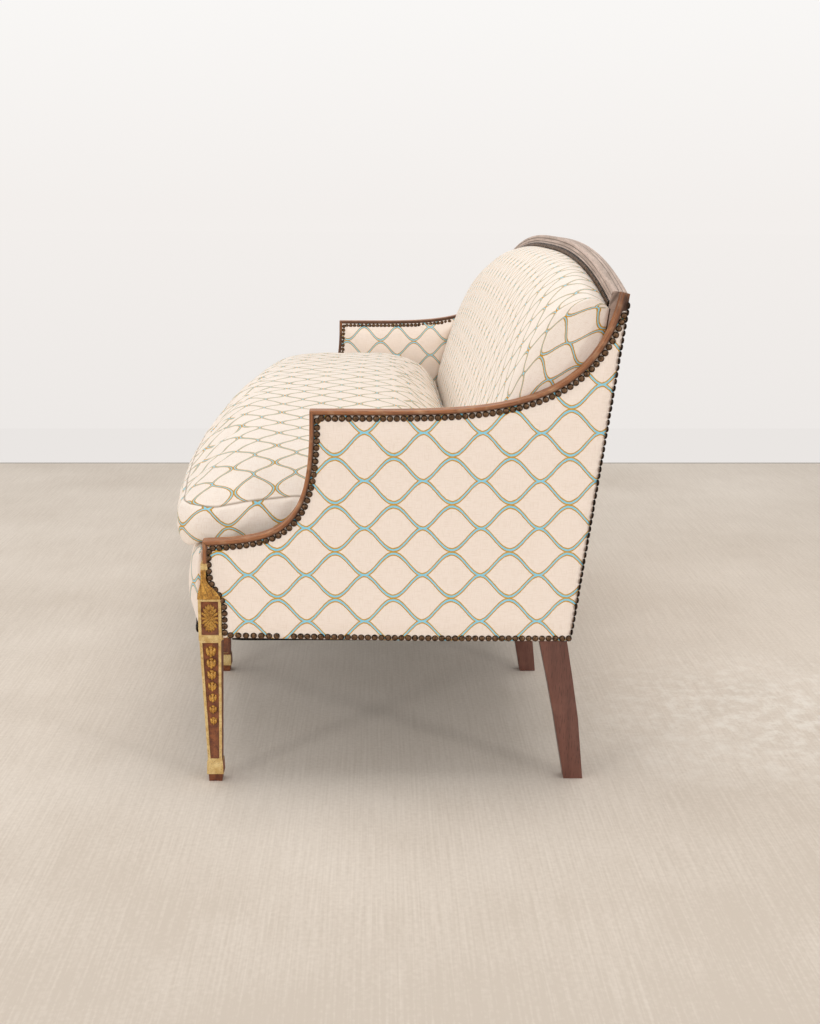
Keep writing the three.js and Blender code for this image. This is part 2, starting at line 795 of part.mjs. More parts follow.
/** A flat seat strap from the front seat rail to the back seat rail. */
function seatStrap(x) {
  const low = rail_top + joint_gap + strap_thickness / 2;
  const near = Math.min(bowAt(x - strap_width / 2), bowAt(x + strap_width / 2));
  const rear = backDepth(rail_top, frame_back_inset + seat_strap_inset);
  return boxBetween(
    [x - strap_width / 2, seat_strap_inset - near, low - strap_thickness / 2],
    [x + strap_width / 2, rear, low + strap_thickness / 2]);
}

/** A lengthwise seat strap, woven over and under the straps that it crosses. */
function longStrap(index) {
  const level = rail_top + joint_gap + strap_thickness / 2;
  const lift = strap_thickness + joint_gap;
  const reach = frame_half - seat_strap_inset;
  const line = seatStrapPlaces().flatMap((x, i) => {
    const way = (i + index) % 2 === 0 ? 1 : -1;
    return [[x - strap_width / 2, level + way * lift], [x + strap_width / 2, level + way * lift]];
  });
  const ends = [
    [-reach, level], [-end_rail_inner, level], ...line, [end_rail_inner, level], [reach, level]];
  const top = ends.map(([x, z]) => [x, z + strap_thickness / 2]);
  const bottom = ends.map(([x, z]) => [x, z - strap_thickness / 2]).reverse();
  const rear = backDepth(rail_top, frame_back_inset + rail_thickness);
  const y = THREE.MathUtils.lerp(rail_thickness, rear, (index + 1) / (long_strap_count + 1));
  const shape = new THREE.Shape([...bottom, ...top].map(([x, z]) => new THREE.Vector2(x, z)));
  const geometry = new THREE.ExtrudeGeometry(shape, { depth: strap_width, bevelEnabled: false });
  geometry.rotateX(Math.PI / 2);
  geometry.translate(0, y + strap_width / 2, 0);
  return closed(geometry);
}

/** A back strap from post to post across the front of the uprights. */
function backStrap(height) {
  const reach = frame_half - tongue_width - joint_gap;
  const high = height + strap_width;
  const inset = frame_front_inset + joint_gap;
  const outline = [[-reach, height], [reach, height], [reach, high], [-reach, high]];
  return onBackPlate(outline, inset, inset + strap_thickness);
}

// Upholstery

/** The tight outside panel of the right-hand arm, cut round the leg's shoulder. */
function outsideArmPanel() {
  const clear = show_depth + joint_gap;
  const swoop = insetPath(swoopPath(), clear, 1, 1);
  const sweep = insetPath(sweepPath(), clear, 1, 0);
  const rear = (z) => backDepth(z, frame_back_inset);
  const line = [...swoop, ...sweep.slice(1)].map((p) => [p.x, p.y]);
  const upper = line.filter(([y, z]) => y < rear(z) - joint_gap);
  const last_height = crest_corner_height - panel_head_drop;
  const [notch_depth_share, notch_rise_share] = panel_notch_shares;
  const shoulder = leg_block_width - leg_block_projection + panel_lift;
  const low = underside_height + panel_lift;
  const outline = [
    [shoulder, low], [shoulder, block_top],
    [shoulder * notch_depth_share, block_top + shoulder_height * notch_rise_share],
    [clear + joint_gap, block_top + shoulder_height],
    ...upper.filter(([, z]) => z < last_height),
    [rear(last_height), last_height], [rear(low), low],
  ];
  return acrossSofa(outline, frame_half + joint_gap, half_length - panel_inset);
}

/** The tight outside back panel, its top edge under the crest's rear lip. */
function outsideBackPanel() {
  const reach = half_length - panel_inset;
  const low = underside_height + panel_lift;
  const inner = half_length - show_width;
  const lip = crest_rear_height + joint_gap;
  const places = Array.from(
    { length: 2 * back_panel_steps + 1 }, (_, i) => inner * (1 - i / back_panel_steps));
  const top = places.map((x) => [x, crestHeight(x) - lip]);
  const corner = crestHeight(inner) - lip - panel_thickness * back_lean;
  const beside = inner + joint_gap;
  const outline = [
    [-reach, low], [reach, low], [reach, corner], [beside, corner],
    ...top, [-beside, corner], [-reach, corner],
  ];
  return onBackPlate(outline, 0, panel_thickness);
}

/** The padded border on the bowed front rail, drawn in round the leg heads. */
function frontBorder() {
  const low = underside_height + panel_lift;
  const high = deck_top - border_lower;
  const reach = half_length - joint_gap;
  const profile = Array.from({ length: border_profile_steps + 1 }, (_, i) => {
    const share = i / border_profile_steps;
    const out = border_crown * Math.max(Math.sin(Math.PI * share), 0) ** border_fullness_share;
    return [low + share * (high - low), out];
  });
  const rings = Array.from({ length: border_steps + 1 }, (_, i) => {
    const x = reach * Math.sin(Math.PI * (i / border_steps - 1 / 2));
    const from_end_share = (1 - Math.abs(x) / reach) / border_end_share;
    const ease = Math.sqrt(THREE.MathUtils.clamp(from_end_share, border_least_share, 1));
    const y = -bowAt(x) - joint_gap;
    const front = profile.map(([z, out]) => new THREE.Vector3(x, y - border_base - out * ease, z));
    return [new THREE.Vector3(x, y, high), new THREE.Vector3(x, y, low), ...front];
  });
  const outline = rings[border_steps / 2].map((point) => new THREE.Vector2(point.y, point.z));
  const heads = [cornerHead(1), cornerHead(-1), innerHead(1), innerHead(-1)];
  return cut(loft(rings, outline), ...heads);
}

/** The space beside the sofa's end that a corner leg's head and stile take, with clearance. */
function cornerHead(side) {
  const front = -border_base - border_crown - cut_overrun;
  const block = boxBetween(
    [half_length - leg_block_width - joint_gap, front, block_bottom - cut_overrun],
    [half_length + cut_overrun, leg_block_width, block_top + joint_gap]);
  const stile = boxBetween(
    [half_length - show_width - collar_proud - joint_gap, front, block_top],
    [half_length + cut_overrun, leg_block_width, low_corner_height + cut_overrun]);
  const head = join(block, stile, cornerShoulder(joint_gap));
  return side > 0 ? head : mirrored(head);
}

/** The padded seat deck on the webbing, inside the frame. */
function seatDeck() {
  const side = frame_half - tongue_width - joint_gap;
  const reach = half_length - leg_block_width - joint_gap;
  const front = placesAlong(reach).map((x) => [x, deck_front_inset - bowAt(x)]);
  const rear = backDepth(deck_top, frame_front_inset + 2 * strap_thickness) - post_seat_thickness;
  return upright([...front, [side, leg_core_depth + joint_gap], [side, rear], [-side, rear],
    [-side, leg_core_depth + joint_gap]], long_strap_top + joint_gap, deck_top);
}

/** The cambric dust cover under the seat rails, cut round the legs. */
function dustCover() {
  const high = rail_bottom - joint_gap;
  const low = high - dust_cover_thickness;
  const side = frame_half - joint_gap;
  const front = placesAlong(side).map((x) => [x, joint_gap - bowAt(x)]);
  const rear = backDepth(rail_bottom, frame_back_inset);
  const sheet = upright([...front, [side, rear], [-side, rear]], low, high);
  return cut(sheet, ...legSpaces(high));
}

/** Boxes round the eight legs where they pass the dust cover. */
function legSpaces(height) {
  const rear = backDepth(rail_bottom, 0) + cut_overrun;
  const boxes = [
    [half_length - leg_block_width, -leg_block_projection, half_length + cut_overrun, leg_block_width],
    [inner_leg_distance - leg_block_width / 2, -leg_block_projection - inner_leg_advance,
      inner_leg_distance + leg_block_width / 2, leg_block_width - leg_block_projection - inner_leg_advance],
    [post_inner, body_depth - back_leg_setback, half_length, rear],
    [inner_leg_distance - back_leg_width / 2, body_depth - back_leg_setback - inner_back_leg_advance,
      inner_leg_distance + back_leg_width / 2, rear],
  ];
  return boxes.flatMap(([x_low, y_low, x_high, y_high]) => {
    const box = boxBetween(
      [x_low - joint_gap, y_low - joint_gap, height - cut_overrun],
      [x_high + joint_gap, y_high + joint_gap, height + cut_overrun]);
    return [box, mirrored(box)];
  });
}

/** Side profile of the back pad at a place along it: it is fuller towards the sofa's right end. */
function backPadProfile(x) {
  const fullness = THREE.MathUtils.smoothstep(x, back_pad_slim_until, back_pad_full_from);
  const thickness = THREE.MathUtils.mapLinear(
    x, -half_length, half_length, back_pad_left_thickness, back_pad_thickness);
  const points = back_pad_slim_shares.map(([rise, depth], i) => new THREE.Vector2(
    THREE.MathUtils.lerp(rise, back_pad_full_shares[i][0], fullness),
    THREE.MathUtils.lerp(depth, back_pad_full_shares[i][1], fullness) * thickness));
  return new THREE.SplineCurve(points).getPoints(back_pad_profile_steps);
}

/** The puffed tight back, full under the crest and rounded at its two ends. */
function backPad() {
  const reach = half_length - show_width - 2 * joint_gap;
  const low = deck_top + joint_gap;
  const rear = frame_front_inset + strap_thickness + 2 * joint_gap;
  const least = crest_thickness - rear + joint_gap;
  const rings = Array.from({ length: back_pad_steps + 1 }, (_, i) => {
    const x = reach * Math.sin(Math.PI * (i / back_pad_steps - 1 / 2));
    const from_end = Math.min(1, (reach - Math.abs(x)) / back_pad_end_round);
    const drawn_in = back_pad_end_round * (1 - Math.sqrt(1 - (1 - from_end) ** 2));
    const top = crestHeight(x) - crest_front_height;
    const line = backPadProfile(x).map((point) => {
      const thick = Math.max(point.y - drawn_in, least);
      return onBack(x, low + point.x * (top - low), rear + thick);
    });
    return [onBack(x, low, rear), ...line, onBack(x, top, rear)];
  });
  const outline = rings[back_pad_steps / 2].map((point) => new THREE.Vector2(point.y, point.z));
  return loft(rings, outline);
}

/** Depth of the back pad's face at a place and height. */
function backPadFace(x, height) {
  const low = deck_top + joint_gap;
  const rise = (height - low) / (crestHeight(x) - crest_front_height - low);
  const profile = backPadProfile(x);
  const next = Math.max(1, profile.findIndex((point) => point.x > rise));
  const share = (rise - profile[next - 1].x) / (profile[next].x - profile[next - 1].x);
  const thick = THREE.MathUtils.lerp(profile[next - 1].y, profile[next].y, share);
  return backDepth(height, frame_front_inset + strap_thickness + 2 * joint_gap + thick);
}

/** The padded inside of the right-hand arm, crowned towards the seat. */
function insideArmPad() {
  const clear = show_depth + joint_gap;
  const outer = frame_half - tongue_width - joint_gap;
  const low = deck_top + joint_gap;
  const swoop = insetPath(swoopPath(), clear, 1, 1).filter((p) => p.x > arm_front_setback - arm_pad_lead);
  const sweep = insetPath(sweepPath(), clear, 1, 0).slice(1);
  const face = (z) => backPadFace(outer - arm_pad_thickness, z) - arm_pad_back_clearance;
  const upper = [...swoop, ...sweep].filter((p) => p.x < face(p.y)).map((p) => [p.x, p.y]);
  const last = upper[upper.length - 1];
  const middle_height = (low + last[1]) / 2;
  const rear = [last[1], middle_height, low].map((z) => [face(z), z]);
  const outline = [[upper[0][0], low], ...upper, ...rear];
  const centre = [(upper[0][0] + face(middle_height)) / 2 + arm_pad_centre_setback, middle_height];
  const ring = (x, share) => outline.map(([y, z]) => new THREE.Vector3(
    x, THREE.MathUtils.lerp(centre[0], y, share), THREE.MathUtils.lerp(centre[1], z, share)));
  const crowned = arm_pad_ring_shares.map(([share, rise]) => ring(outer - rise * arm_pad_thickness, share));
  const rings = [ring(outer, 1), ring(outer - arm_pad_edge, 1), ...crowned];
  return loft(rings, outline.map(([y, z]) => new THREE.Vector2(y, z)));
}

/** Plan outline of the cushion about its own middle, with rounded corners. */
function cushionOutline(half_wide, half_deep) {
  const radius = cushion_corner_radius;
  const points = [];
  const side = (from, to, steps) => {
    for (let i = 0; i < steps; i += 1) {
      points.push(from.map((start, k) => THREE.MathUtils.lerp(start, to[k], i / steps)));
    }
  };
  const corner = (x, y, start) => {
    for (let i = 0; i < cushion_corner_steps; i += 1) {
      const angle = start + (i / cushion_corner_steps) * Math.PI / 2;
      points.push([x + radius * Math.cos(angle), y + radius * Math.sin(angle)]);
    }
  };
  const wide = half_wide - radius;
  const deep = half_deep - radius;
  side([-wide, -half_deep], [wide, -half_deep], cushion_long_steps);
  corner(wide, -deep, -Math.PI / 2);
  side([half_wide, -deep], [half_wide, deep], cushion_short_steps);
  corner(wide, deep, 0);
  side([wide, half_deep], [-wide, half_deep], cushion_long_steps);
  corner(-wide, deep, Math.PI / 2);
  side([-half_wide, deep], [-half_wide, -deep], cushion_short_steps);
  corner(-wide, -deep, Math.PI);
  return points;
}

/** Height of the cushion's top above its seam at shares of its half width and half depth. */
function cushionCrown(u, v) {
  const height = cushion_end_crown + (cushion_middle_crown - cushion_end_crown) * (1 - u ** 2);
  const along = 1 - Math.abs(u) ** cushion_end_power_share;
  const across = v < 0
    ? 1 - Math.abs(v) ** cushion_front_power_share
    : 1 - cushion_rear_drop_share * v ** cushion_rear_power_share;
  return height * along * across;
}

/** The loose bench cushion: crowned top, bulging front, sides drawn in between its corners. */
function seatCushion() {
  const side = frame_half - tongue_width - joint_gap - arm_pad_thickness - cushion_clearance;
  const low = deck_top + joint_gap;
  const rear = backPadFace(side, low + cushion_edge_height) - cushion_clearance - cushion_side_bulge;
  const front = -cushion_front_overhang;
  const half_deep = (rear - front) / 2 - cushion_side_bulge;
  const middle = (rear + front) / 2;
  const half_wide = side - cushion_side_bulge;
  const place = ([x, y], inset, bulge, z) => {
    const u = x / half_wide;
    const v = y / half_deep;
    const flat_x = u * (half_wide - inset + bulge);
    const flat_y = v * (half_deep - inset + bulge);
    const waist = cushion_waist * (1 - v ** 2) * Math.abs(u) ** cushion_waist_power_share * Math.sign(u);
    const frontness = (1 - v) / 2;
    const bow = front_bow * (1 - u ** 2) * frontness;
    return new THREE.Vector3(flat_x - waist, middle + flat_y - bow, z);
  };
  const outline = cushionOutline(half_wide, half_deep);
  const walls = cushion_wall_shares.map(([rise, out]) => outline.map(
    (point) => place(point, 0, out * cushion_side_bulge, low + rise * cushion_edge_height)));
  const crownAt = ([x, y], inset) => cushionCrown((x / half_wide) * (1 - inset / half_wide),
    (y / half_deep) * (1 - inset / half_deep));
  const crown = cushion_ring_shares.map((share) => outline.map((point) => {
    const inset = share * half_deep;
    return place(point, inset, 0, low + cushion_edge_height + crownAt(point, inset));
  }));
  return loft([...walls, ...crown], outline.map(([x, y]) => new THREE.Vector2(x, y)));
}

// Assembly

const sofa = new THREE.Group();

/** Adds one named sub-part. */
function add(name, geometry, material) {
  const mesh = new THREE.Mesh(geometry, material);
  mesh.name = name;
  sofa.add(mesh);
}

/** Adds a right-hand sub-part and its mirror image on the left. */
function addPair(name, geometry, material) {
  add(`right_${name}`, geometry, material);
  add(`left_${name}`, mirrored(geometry), material);
}

add('front_seat_rail', frontSeatRail(), beech);
add('back_seat_rail', backSeatRail(), beech);
addPair('end_seat_rail', endSeatRail(), beech);
addPair('seat_stretcher', seatStretcher(), beech);
addPair('front_corner_block', frontCornerBlock(), beech);
addPair('back_corner_block', backCornerBlock(), beech);
addPair('front_corner_leg', cornerFrontLeg(), gilt);
addPair('front_inner_leg', innerFrontLeg(), gilt);
addPair('back_post', backPost(), mahogany);
addPair('back_inner_leg', innerBackLeg(), mahogany);
addPair('back_upright', backUpright(), beech);
add('crest_rail', crestRail(), weathered_walnut);
addPair('front_stile', frontStile(), walnut);
addPair('arm_swoop_rail', armSwoopRail(), walnut);
addPair('arm_top_rail', armTopRail(), walnut);
addPair('arm_tack_rail', armTackRail(), beech);
addPair('outside_arm_panel', outsideArmPanel(), linen);
addPair('inside_arm_pad', insideArmPad(), linen);
add('outside_back_panel', outsideBackPanel(), linen);
add('front_border', frontBorder(), linen);
add('seat_deck', seatDeck(), calico);
add('dust_cover', dustCover(), black_cambric);
add('back_pad', backPad(), linen);
add('seat_cushion', seatCushion(), linen);
seatStrapPlaces().forEach((x, i) => add(`seat_strap_${i + 1}`, seatStrap(x), jute));
for (let i = 0; i < long_strap_count; i += 1) {
  add(`long_strap_${i + 1}`, longStrap(i), jute);
}
for (let i = 0; i < back_strap_count; i += 1) {
  add(`back_strap_${i + 1}`, backStrap(rail_top + back_strap_lift + i * back_strap_pitch), jute);
}

const box = new THREE.Box3().setFromObject(sofa);
const centre = box.getCenter(new THREE.Vector3());
sofa.position.set(-centre.x, -centre.y, -box.min.z);
sofa.updateMatrixWorld(true);

export default sofa;
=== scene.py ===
"""Looks of the camelback sofa: lattice linen, moulded show-wood, carved legs and nailed trim.

Lengths are written in the maker's own millimetres: across from the sofa's middle, deep from
the front corner of the upholstery, and high from the floor. `to_row` turns them into metres.
"""

import logging
import math
from dataclasses import dataclass, field
from enum import Enum
from typing import Any, Callable

import bmesh
import bpy
import numpy as np
from mathutils import Matrix, Vector, noise
from mathutils.geometry import delaunay_2d_cdt
from mathutils.kdtree import KDTree


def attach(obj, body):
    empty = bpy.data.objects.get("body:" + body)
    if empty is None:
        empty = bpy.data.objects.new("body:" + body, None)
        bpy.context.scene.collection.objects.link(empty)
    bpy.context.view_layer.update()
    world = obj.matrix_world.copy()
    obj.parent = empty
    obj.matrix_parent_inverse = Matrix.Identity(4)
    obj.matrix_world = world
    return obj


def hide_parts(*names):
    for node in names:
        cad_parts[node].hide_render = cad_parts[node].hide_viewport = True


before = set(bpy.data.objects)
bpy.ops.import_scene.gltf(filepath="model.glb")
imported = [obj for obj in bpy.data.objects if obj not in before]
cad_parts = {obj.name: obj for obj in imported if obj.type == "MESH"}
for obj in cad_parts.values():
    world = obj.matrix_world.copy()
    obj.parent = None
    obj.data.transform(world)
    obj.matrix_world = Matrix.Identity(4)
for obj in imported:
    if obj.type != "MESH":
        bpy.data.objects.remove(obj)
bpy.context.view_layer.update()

LOG = logging.getLogger("sofa")
MM = 0.001
DEPTH_ORIGIN = -317.704
SIDES = (("right", 1), ("left", -1))


def linear(code: str, alpha: float = 1.0) -> tuple[float, float, float, float]:
    """Turns a written sRGB colour into linear light.

    Args:
        code: Six hex digits after a hash sign.
        alpha: The opacity.

    Returns:
        Linear red, green, blue and the opacity.
    """
    channels = [int(code[i : i + 2], 16) / 255 for i in (1, 3, 5)]
    light = [c / 12.92 if c <= 0.04045 else ((c + 0.055) / 1.055) ** 2.4 for c in channels]
    return (*light, alpha)


def to_row(points: Any) -> np.ndarray:
    """Turns the maker's millimetres into the frame's metres.

    Args:
        points: Points in millimetres, the last axis x, y and z.

    Returns:
        The points in metres.
    """
    return (np.asarray(points, float) + (0.0, DEPTH_ORIGIN, 0.0)) * MM


def smoothstep(low: float, high: float, value: Any) -> Any:
    """Eases from 0 at low to 1 at high.

    Args:
        low: Where the ease starts.
        high: Where it ends.
        value: A number or an array.

    Returns:
        The eased share.
    """
    share = np.clip((value - low) / (high - low), 0, 1)
    return share * share * (3 - 2 * share)


def ripple(points: np.ndarray, grain: float, seed: float) -> np.ndarray:
    """Gives smooth noise at points, the same on every run.

    Args:
        points: Points in millimetres, one row each.
        grain: Size of the noise's features in millimetres.
        seed: Moves the noise to another place.

    Returns:
        One value for each point, about from -1 to 1.
    """
    shift = Vector((seed * 7.3, seed * 3.1, seed * 5.7))
    return np.array([noise.noise(Vector(p) / grain + shift) for p in points])


# Lines of the sofa


@dataclass(frozen=True)
class SofaLines:
    """The sizes and curves that the solid frame and its coverings share, in millimetres."""

    half_length: float = 1000.0
    depth: float = 637.0
    underside: float = 263.0
    low_corner: float = 439.0
    arm_height: float = 665.0
    crest_corner: float = 856.0
    crest_rise: float = 79.0
    hump_power: float = 2.6
    bow: float = 55.0
    lean: float = 0.139
    arm_setback: float = 185.0
    sweep_start: float = 320.0
    sweep_end: float = 14.6
    rail_depth: float = 32.0
    deck_top: float = 420.9
    frame_half: float = 993.7

    def bow_at(self, x: Any) -> Any:
        """How far the front stands forward of its corners at a place along the sofa."""
        return self.bow * (1 - (x / self.half_length) ** 2)

    def crest_at(self, x: Any) -> Any:
        """Height of the crest's rear arris at a place along the sofa."""
        return self.crest_corner + self.crest_rise * (1 - abs(x / self.half_length) ** self.hump_power)

    def back_depth(self, z: Any, inset: Any = 0.0) -> Any:
        """Depth of the raked back at a height, an inset in front of its rear face."""
        return self.depth + self.lean * (z - self.underside) - inset * math.hypot(1, self.lean)

    def on_back(self, x: Any, height: Any, inset: Any) -> np.ndarray:
        """Finds points on the raked back.

        Args:
            x: Places along the sofa.
            height: Heights on the rear face.
            inset: Distances in front of the rear face.

        Returns:
            The points, one row each.
        """
        x, height, inset = np.broadcast_arrays(x, height, inset)
        size = math.hypot(1, self.lean)
        y = self.depth + self.lean * (height - self.underside) - inset / size
        return np.stack([x, y, height + inset * self.lean / size], -1).astype(float)

    def swoop(self, steps: int = 40) -> np.ndarray:
        """Upper arris of the swooped front rail as (depth, height) points."""
        run, rise = self.arm_setback, self.arm_height - self.low_corner
        handles = [(0, 0), (0.741 * run, 0.024 * rise), (1.007 * run, 0.077 * rise), (run, rise)]
        return self._curve(np.array(handles) + (0, self.low_corner), steps)

    def sweep(self, steps: int = 50) -> np.ndarray:
        """Upper arris of the arm's top rail, from its front corner up to the crest."""
        rear = self.back_depth(self.crest_corner) - self.sweep_end
        run, rise = rear - self.sweep_start, self.crest_corner - self.arm_height
        handles = [(0, 0), (0.5 * run, 0.01 * rise), (0.889 * run, 0.056 * rise), (run, rise)]
        curve = self._curve(np.array(handles) + (self.sweep_start, self.arm_height), steps)
        flat = np.linspace((self.arm_setback, self.arm_height), curve[0], 6)
        return np.vstack([flat[:-1], curve])

    def _curve(self, handles: np.ndarray, steps: int) -> np.ndarray:
        """Points of a cubic curve, without those that its mitred ends slide past."""
        t = np.linspace(0, 1, steps + 1)[:, None]
        a, b, c, d = handles
        return (1 - t) ** 3 * a + 3 * (1 - t) ** 2 * t * b + 3 * (1 - t) * t**2 * c + t**3 * d


def path_normals(path: np.ndarray) -> tuple[np.ndarray, np.ndarray]:
    """Finds the directions along and across an open path.

    Args:
        path: Points in a plane, one row each.

    Returns:
        Unit tangents and the normals to their left.
    """
    ahead = np.vstack([path[1:], path[-1:]])
    behind = np.vstack([path[:1], path[:-1]])
    tangent = (ahead - behind) / np.linalg.norm(ahead - behind, axis=1)[:, None]
    return tangent, np.stack([-tangent[:, 1], tangent[:, 0]], 1)


def inset_path(path: np.ndarray, distance: float, start_turn: float, end_turn: float) -> np.ndarray:
    """Moves a path inwards, its mitred ends slid along.

    Args:
        path: Points in a plane.
        distance: How far it moves to its right.
        start_turn: Share of the distance that its start slides forward.
        end_turn: Share of the distance that its end slides back.

    Returns:
        The moved path.
    """
    tangent, normal = path_normals(path)
    moved = path - normal * distance
    moved[0] += tangent[0] * start_turn * distance
    moved[-1] -= tangent[-1] * end_turn * distance
    return moved


def clear_of_ends(path: np.ndarray, start: float, end: float) -> np.ndarray:
    """Drops the inner points of a path that lie close to its ends.

    Args:
        path: Points in a plane.
        start: Clear length after the first point.
        end: Clear length before the last point.

    Returns:
        The path with its two end points kept.
    """
    from_start = np.linalg.norm(path - path[0], axis=1)
    from_end = np.linalg.norm(path - path[-1], axis=1)
    keep = (from_start > start) & (from_end > end)
    keep[0] = keep[-1] = True
    return path[keep]


def resampled(path: np.ndarray, spacing: float) -> np.ndarray:
    """Spaces points evenly along a path.

    Args:
        path: Points, one row each.
        spacing: The wanted distance between neighbours.

    Returns:
        The evenly spaced points, ends included.
    """
    lengths = np.concatenate([[0], np.cumsum(np.linalg.norm(np.diff(path, axis=0), axis=1))])
    count = max(2, int(round(lengths[-1] / spacing)) + 1)
    places = np.linspace(0, lengths[-1], count)
    return np.stack([np.interp(places, lengths, path[:, k]) for k in range(path.shape[1])], 1)


LINES = SofaLines()


# Meshes


@dataclass
class Draft:
    """Points, faces, pattern places and finishes of a piece before it becomes a mesh."""

    points: list = field(default_factory=list)
    faces: list = field(default_factory=list)
    corners: list = field(default_factory=list)
    finishes: list = field(default_factory=list)
    heights: list = field(default_factory=list)

    def grid(
        self,
        points: np.ndarray,
        places: np.ndarray,
        wrap: bool = False,
        finish: int = 0,
        heights: np.ndarray | None = None,
    ) -> None:
        """Adds a sheet of four-sided faces.

        Args:
            points: Rows and columns of points in millimetres.
            places: Pattern places in millimetres for each row and column, with one more
                column where the sheet wraps round.
            wrap: Whether the last column joins the first.
            finish: Which of the piece's materials the faces take.
            heights: Relief of each point, from 0 deep to 1 proud.
        """
        rows, columns = points.shape[:2]
        start = len(self.points)
        self.points.extend(points.reshape(-1, 3))
        relief = np.ones((rows, columns)) if heights is None else heights
        self.heights.extend(relief.reshape(-1))
        for r in range(rows - 1):
            for c in range(columns if wrap else columns - 1):
                d = (c + 1) % columns
                self.faces.append([start + r * columns + c, start + r * columns + d,
                                   start + (r + 1) * columns + d, start + (r + 1) * columns + c])
                self.corners.append([places[r, c], places[r, c + 1],
                                     places[r + 1, c + 1], places[r + 1, c]])
                self.finishes.append(finish)

    def patch(self, points: np.ndarray, faces: list, places: np.ndarray, finish: int = 0) -> None:
        """Adds loose faces.

        Args:
            points: Points in millimetres.
            faces: Lists of point numbers.
            places: A pattern place for each point.
            finish: Which of the piece's materials the faces take.
        """
        start = len(self.points)
        self.points.extend(points)
        self.heights.extend([1.0] * len(points))
        for face in faces:
            self.faces.append([start + i for i in face])
            self.corners.append([places[i] for i in face])
            self.finishes.append(finish)

    def made(self, name: str, materials: list, smooth: bool = True, merge: float = 0.02) -> bpy.types.Object:
        """Turns the draft into an object.

        Args:
            name: The piece's name.
            materials: Its materials, in the order of the finishes.
            smooth: Whether its faces are shaded smooth.
            merge: Points closer than this many millimetres become one.

        Returns:
            The object, with its place in its mesh.
        """
        mesh = bpy.data.meshes.new(name)
        mesh.from_pydata(to_row(np.array(self.points)).tolist(), [], self.faces)
        layer = mesh.uv_layers.new(name="cloth")
        flat = np.array([place for face in self.corners for place in face], float) * MM
        layer.data.foreach_set("uv", flat.astype(np.float32).ravel())
        relief = mesh.attributes.new("relief", "FLOAT", "POINT")
        relief.data.foreach_set("value", np.array(self.heights, np.float32))
        mesh.polygons.foreach_set("material_index", self.finishes)
        build = bmesh.new()
        build.from_mesh(mesh)
        bmesh.ops.remove_doubles(build, verts=build.verts, dist=merge * MM)
        bmesh.ops.dissolve_degenerate(build, edges=build.edges, dist=merge * MM)
        bmesh.ops.recalc_face_normals(build, faces=build.faces)
        build.to_mesh(mesh)
        build.free()
        for material in materials:
            mesh.materials.append(material)
        mesh.polygons.foreach_set("use_smooth", [smooth] * len(mesh.polygons))
        piece = bpy.data.objects.new(name, mesh)
        bpy.context.scene.collection.objects.link(piece)
        return piece


def mirrored(piece: bpy.types.Object, name: str) -> bpy.types.Object:
    """Copies a piece to the other end of the sofa.

    Args:
        piece: The right-hand piece.
        name: The copy's name.

    Returns:
        The left-hand piece, its faces turned outwards again.
    """
    mesh = piece.data.copy()
    mesh.name = name
    mesh.transform(Matrix.Scale(-1, 4, Vector((1, 0, 0))))
    mesh.flip_normals()
    copy = bpy.data.objects.new(name, mesh)
    bpy.context.scene.collection.objects.link(copy)
    return copy


def settle(
    piece: bpy.types.Object,
    nodes: tuple[str, ...] = (),
    body: str = "frame",
) -> bpy.types.Object:
    """Puts a finished piece on its body, hides the solid nodes that it stands for, and logs its face count.

    Args:
        piece: The finished piece.
        nodes: The solid nodes that it stands for.
        body: The body that it moves with.

    Returns:
        The piece.
    """
    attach(piece, body)
    if nodes:
        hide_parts(*nodes)
    LOG.info("%s: %d faces", piece.name, len(piece.data.polygons))
    return piece


def softened(node: str, name: str, material: bpy.types.Material, width: float = 1.2) -> bpy.types.Object:
    """Copies a solid node and eases its sharp edges.

    Args:
        node: The solid node.
        name: The new piece's name.
        material: Its material.
        width: Width of the eased edges in millimetres.

    Returns:
        The new piece.
    """
    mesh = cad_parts[node].data.copy()
    mesh.name = name
    build = bmesh.new()
    build.from_mesh(mesh)
    bmesh.ops.remove_doubles(build, verts=build.verts, dist=1e-5)
    bmesh.ops.dissolve_limit(
        build, angle_limit=math.radians(0.5), verts=build.verts, edges=build.edges)
    sharp = [e for e in build.edges if len(e.link_faces) == 2 and e.calc_face_angle(0) > math.radians(25)]
    bmesh.ops.bevel(
        build, geom=sharp, offset=width * MM, offset_type="OFFSET", segments=2, profile=0.5,
        affect="EDGES", clamp_overlap=True)
    bmesh.ops.triangulate(build, faces=[f for f in build.faces if len(f.verts) > 4])
    build.to_mesh(mesh)
    build.free()
    mesh.materials.clear()
    mesh.materials.append(material)
    mesh.polygons.foreach_set("use_smooth", [True] * len(mesh.polygons))
    mesh.set_sharp_from_angle(angle=math.radians(40))
    piece = bpy.data.objects.new(name, mesh)
    bpy.context.scene.collection.objects.link(piece)
    return piece


def filled_outline(outline: np.ndarray, spacing: float) -> tuple[np.ndarray, list, int]:
    """Fills an outline with even triangles.

    Args:
        outline: Corner points of a closed outline in a plane.
        spacing: Distance between neighbouring points.

    Returns:
        The points with the outline's first, the triangles, and how many points the outline has.
    """
    closed = np.vstack([outline, outline[:1]])
    edge = np.vstack([resampled(closed[i : i + 2], spacing)[:-1] for i in range(len(outline))])
    low, high = edge.min(0), edge.max(0)
    across, up = (np.arange(low[k] + spacing / 2, high[k], spacing) for k in (0, 1))
    x, y = np.meshgrid(across, up)
    x[::2] += spacing / 2
    inner = np.stack([x.ravel(), y.ravel()], 1)
    inside = contains(edge, inner) & (edge_distance(edge, inner) > spacing * 0.55)
    points = np.vstack([edge, inner[inside]])
    count = len(edge)
    rim = [(i, (i + 1) % count) for i in range(count)]
    made = delaunay_2d_cdt([Vector(p) for p in points], rim, [], 1, 1e-6)
    return np.array([tuple(p) for p in made[0]]), [list(f) for f in made[2]], count


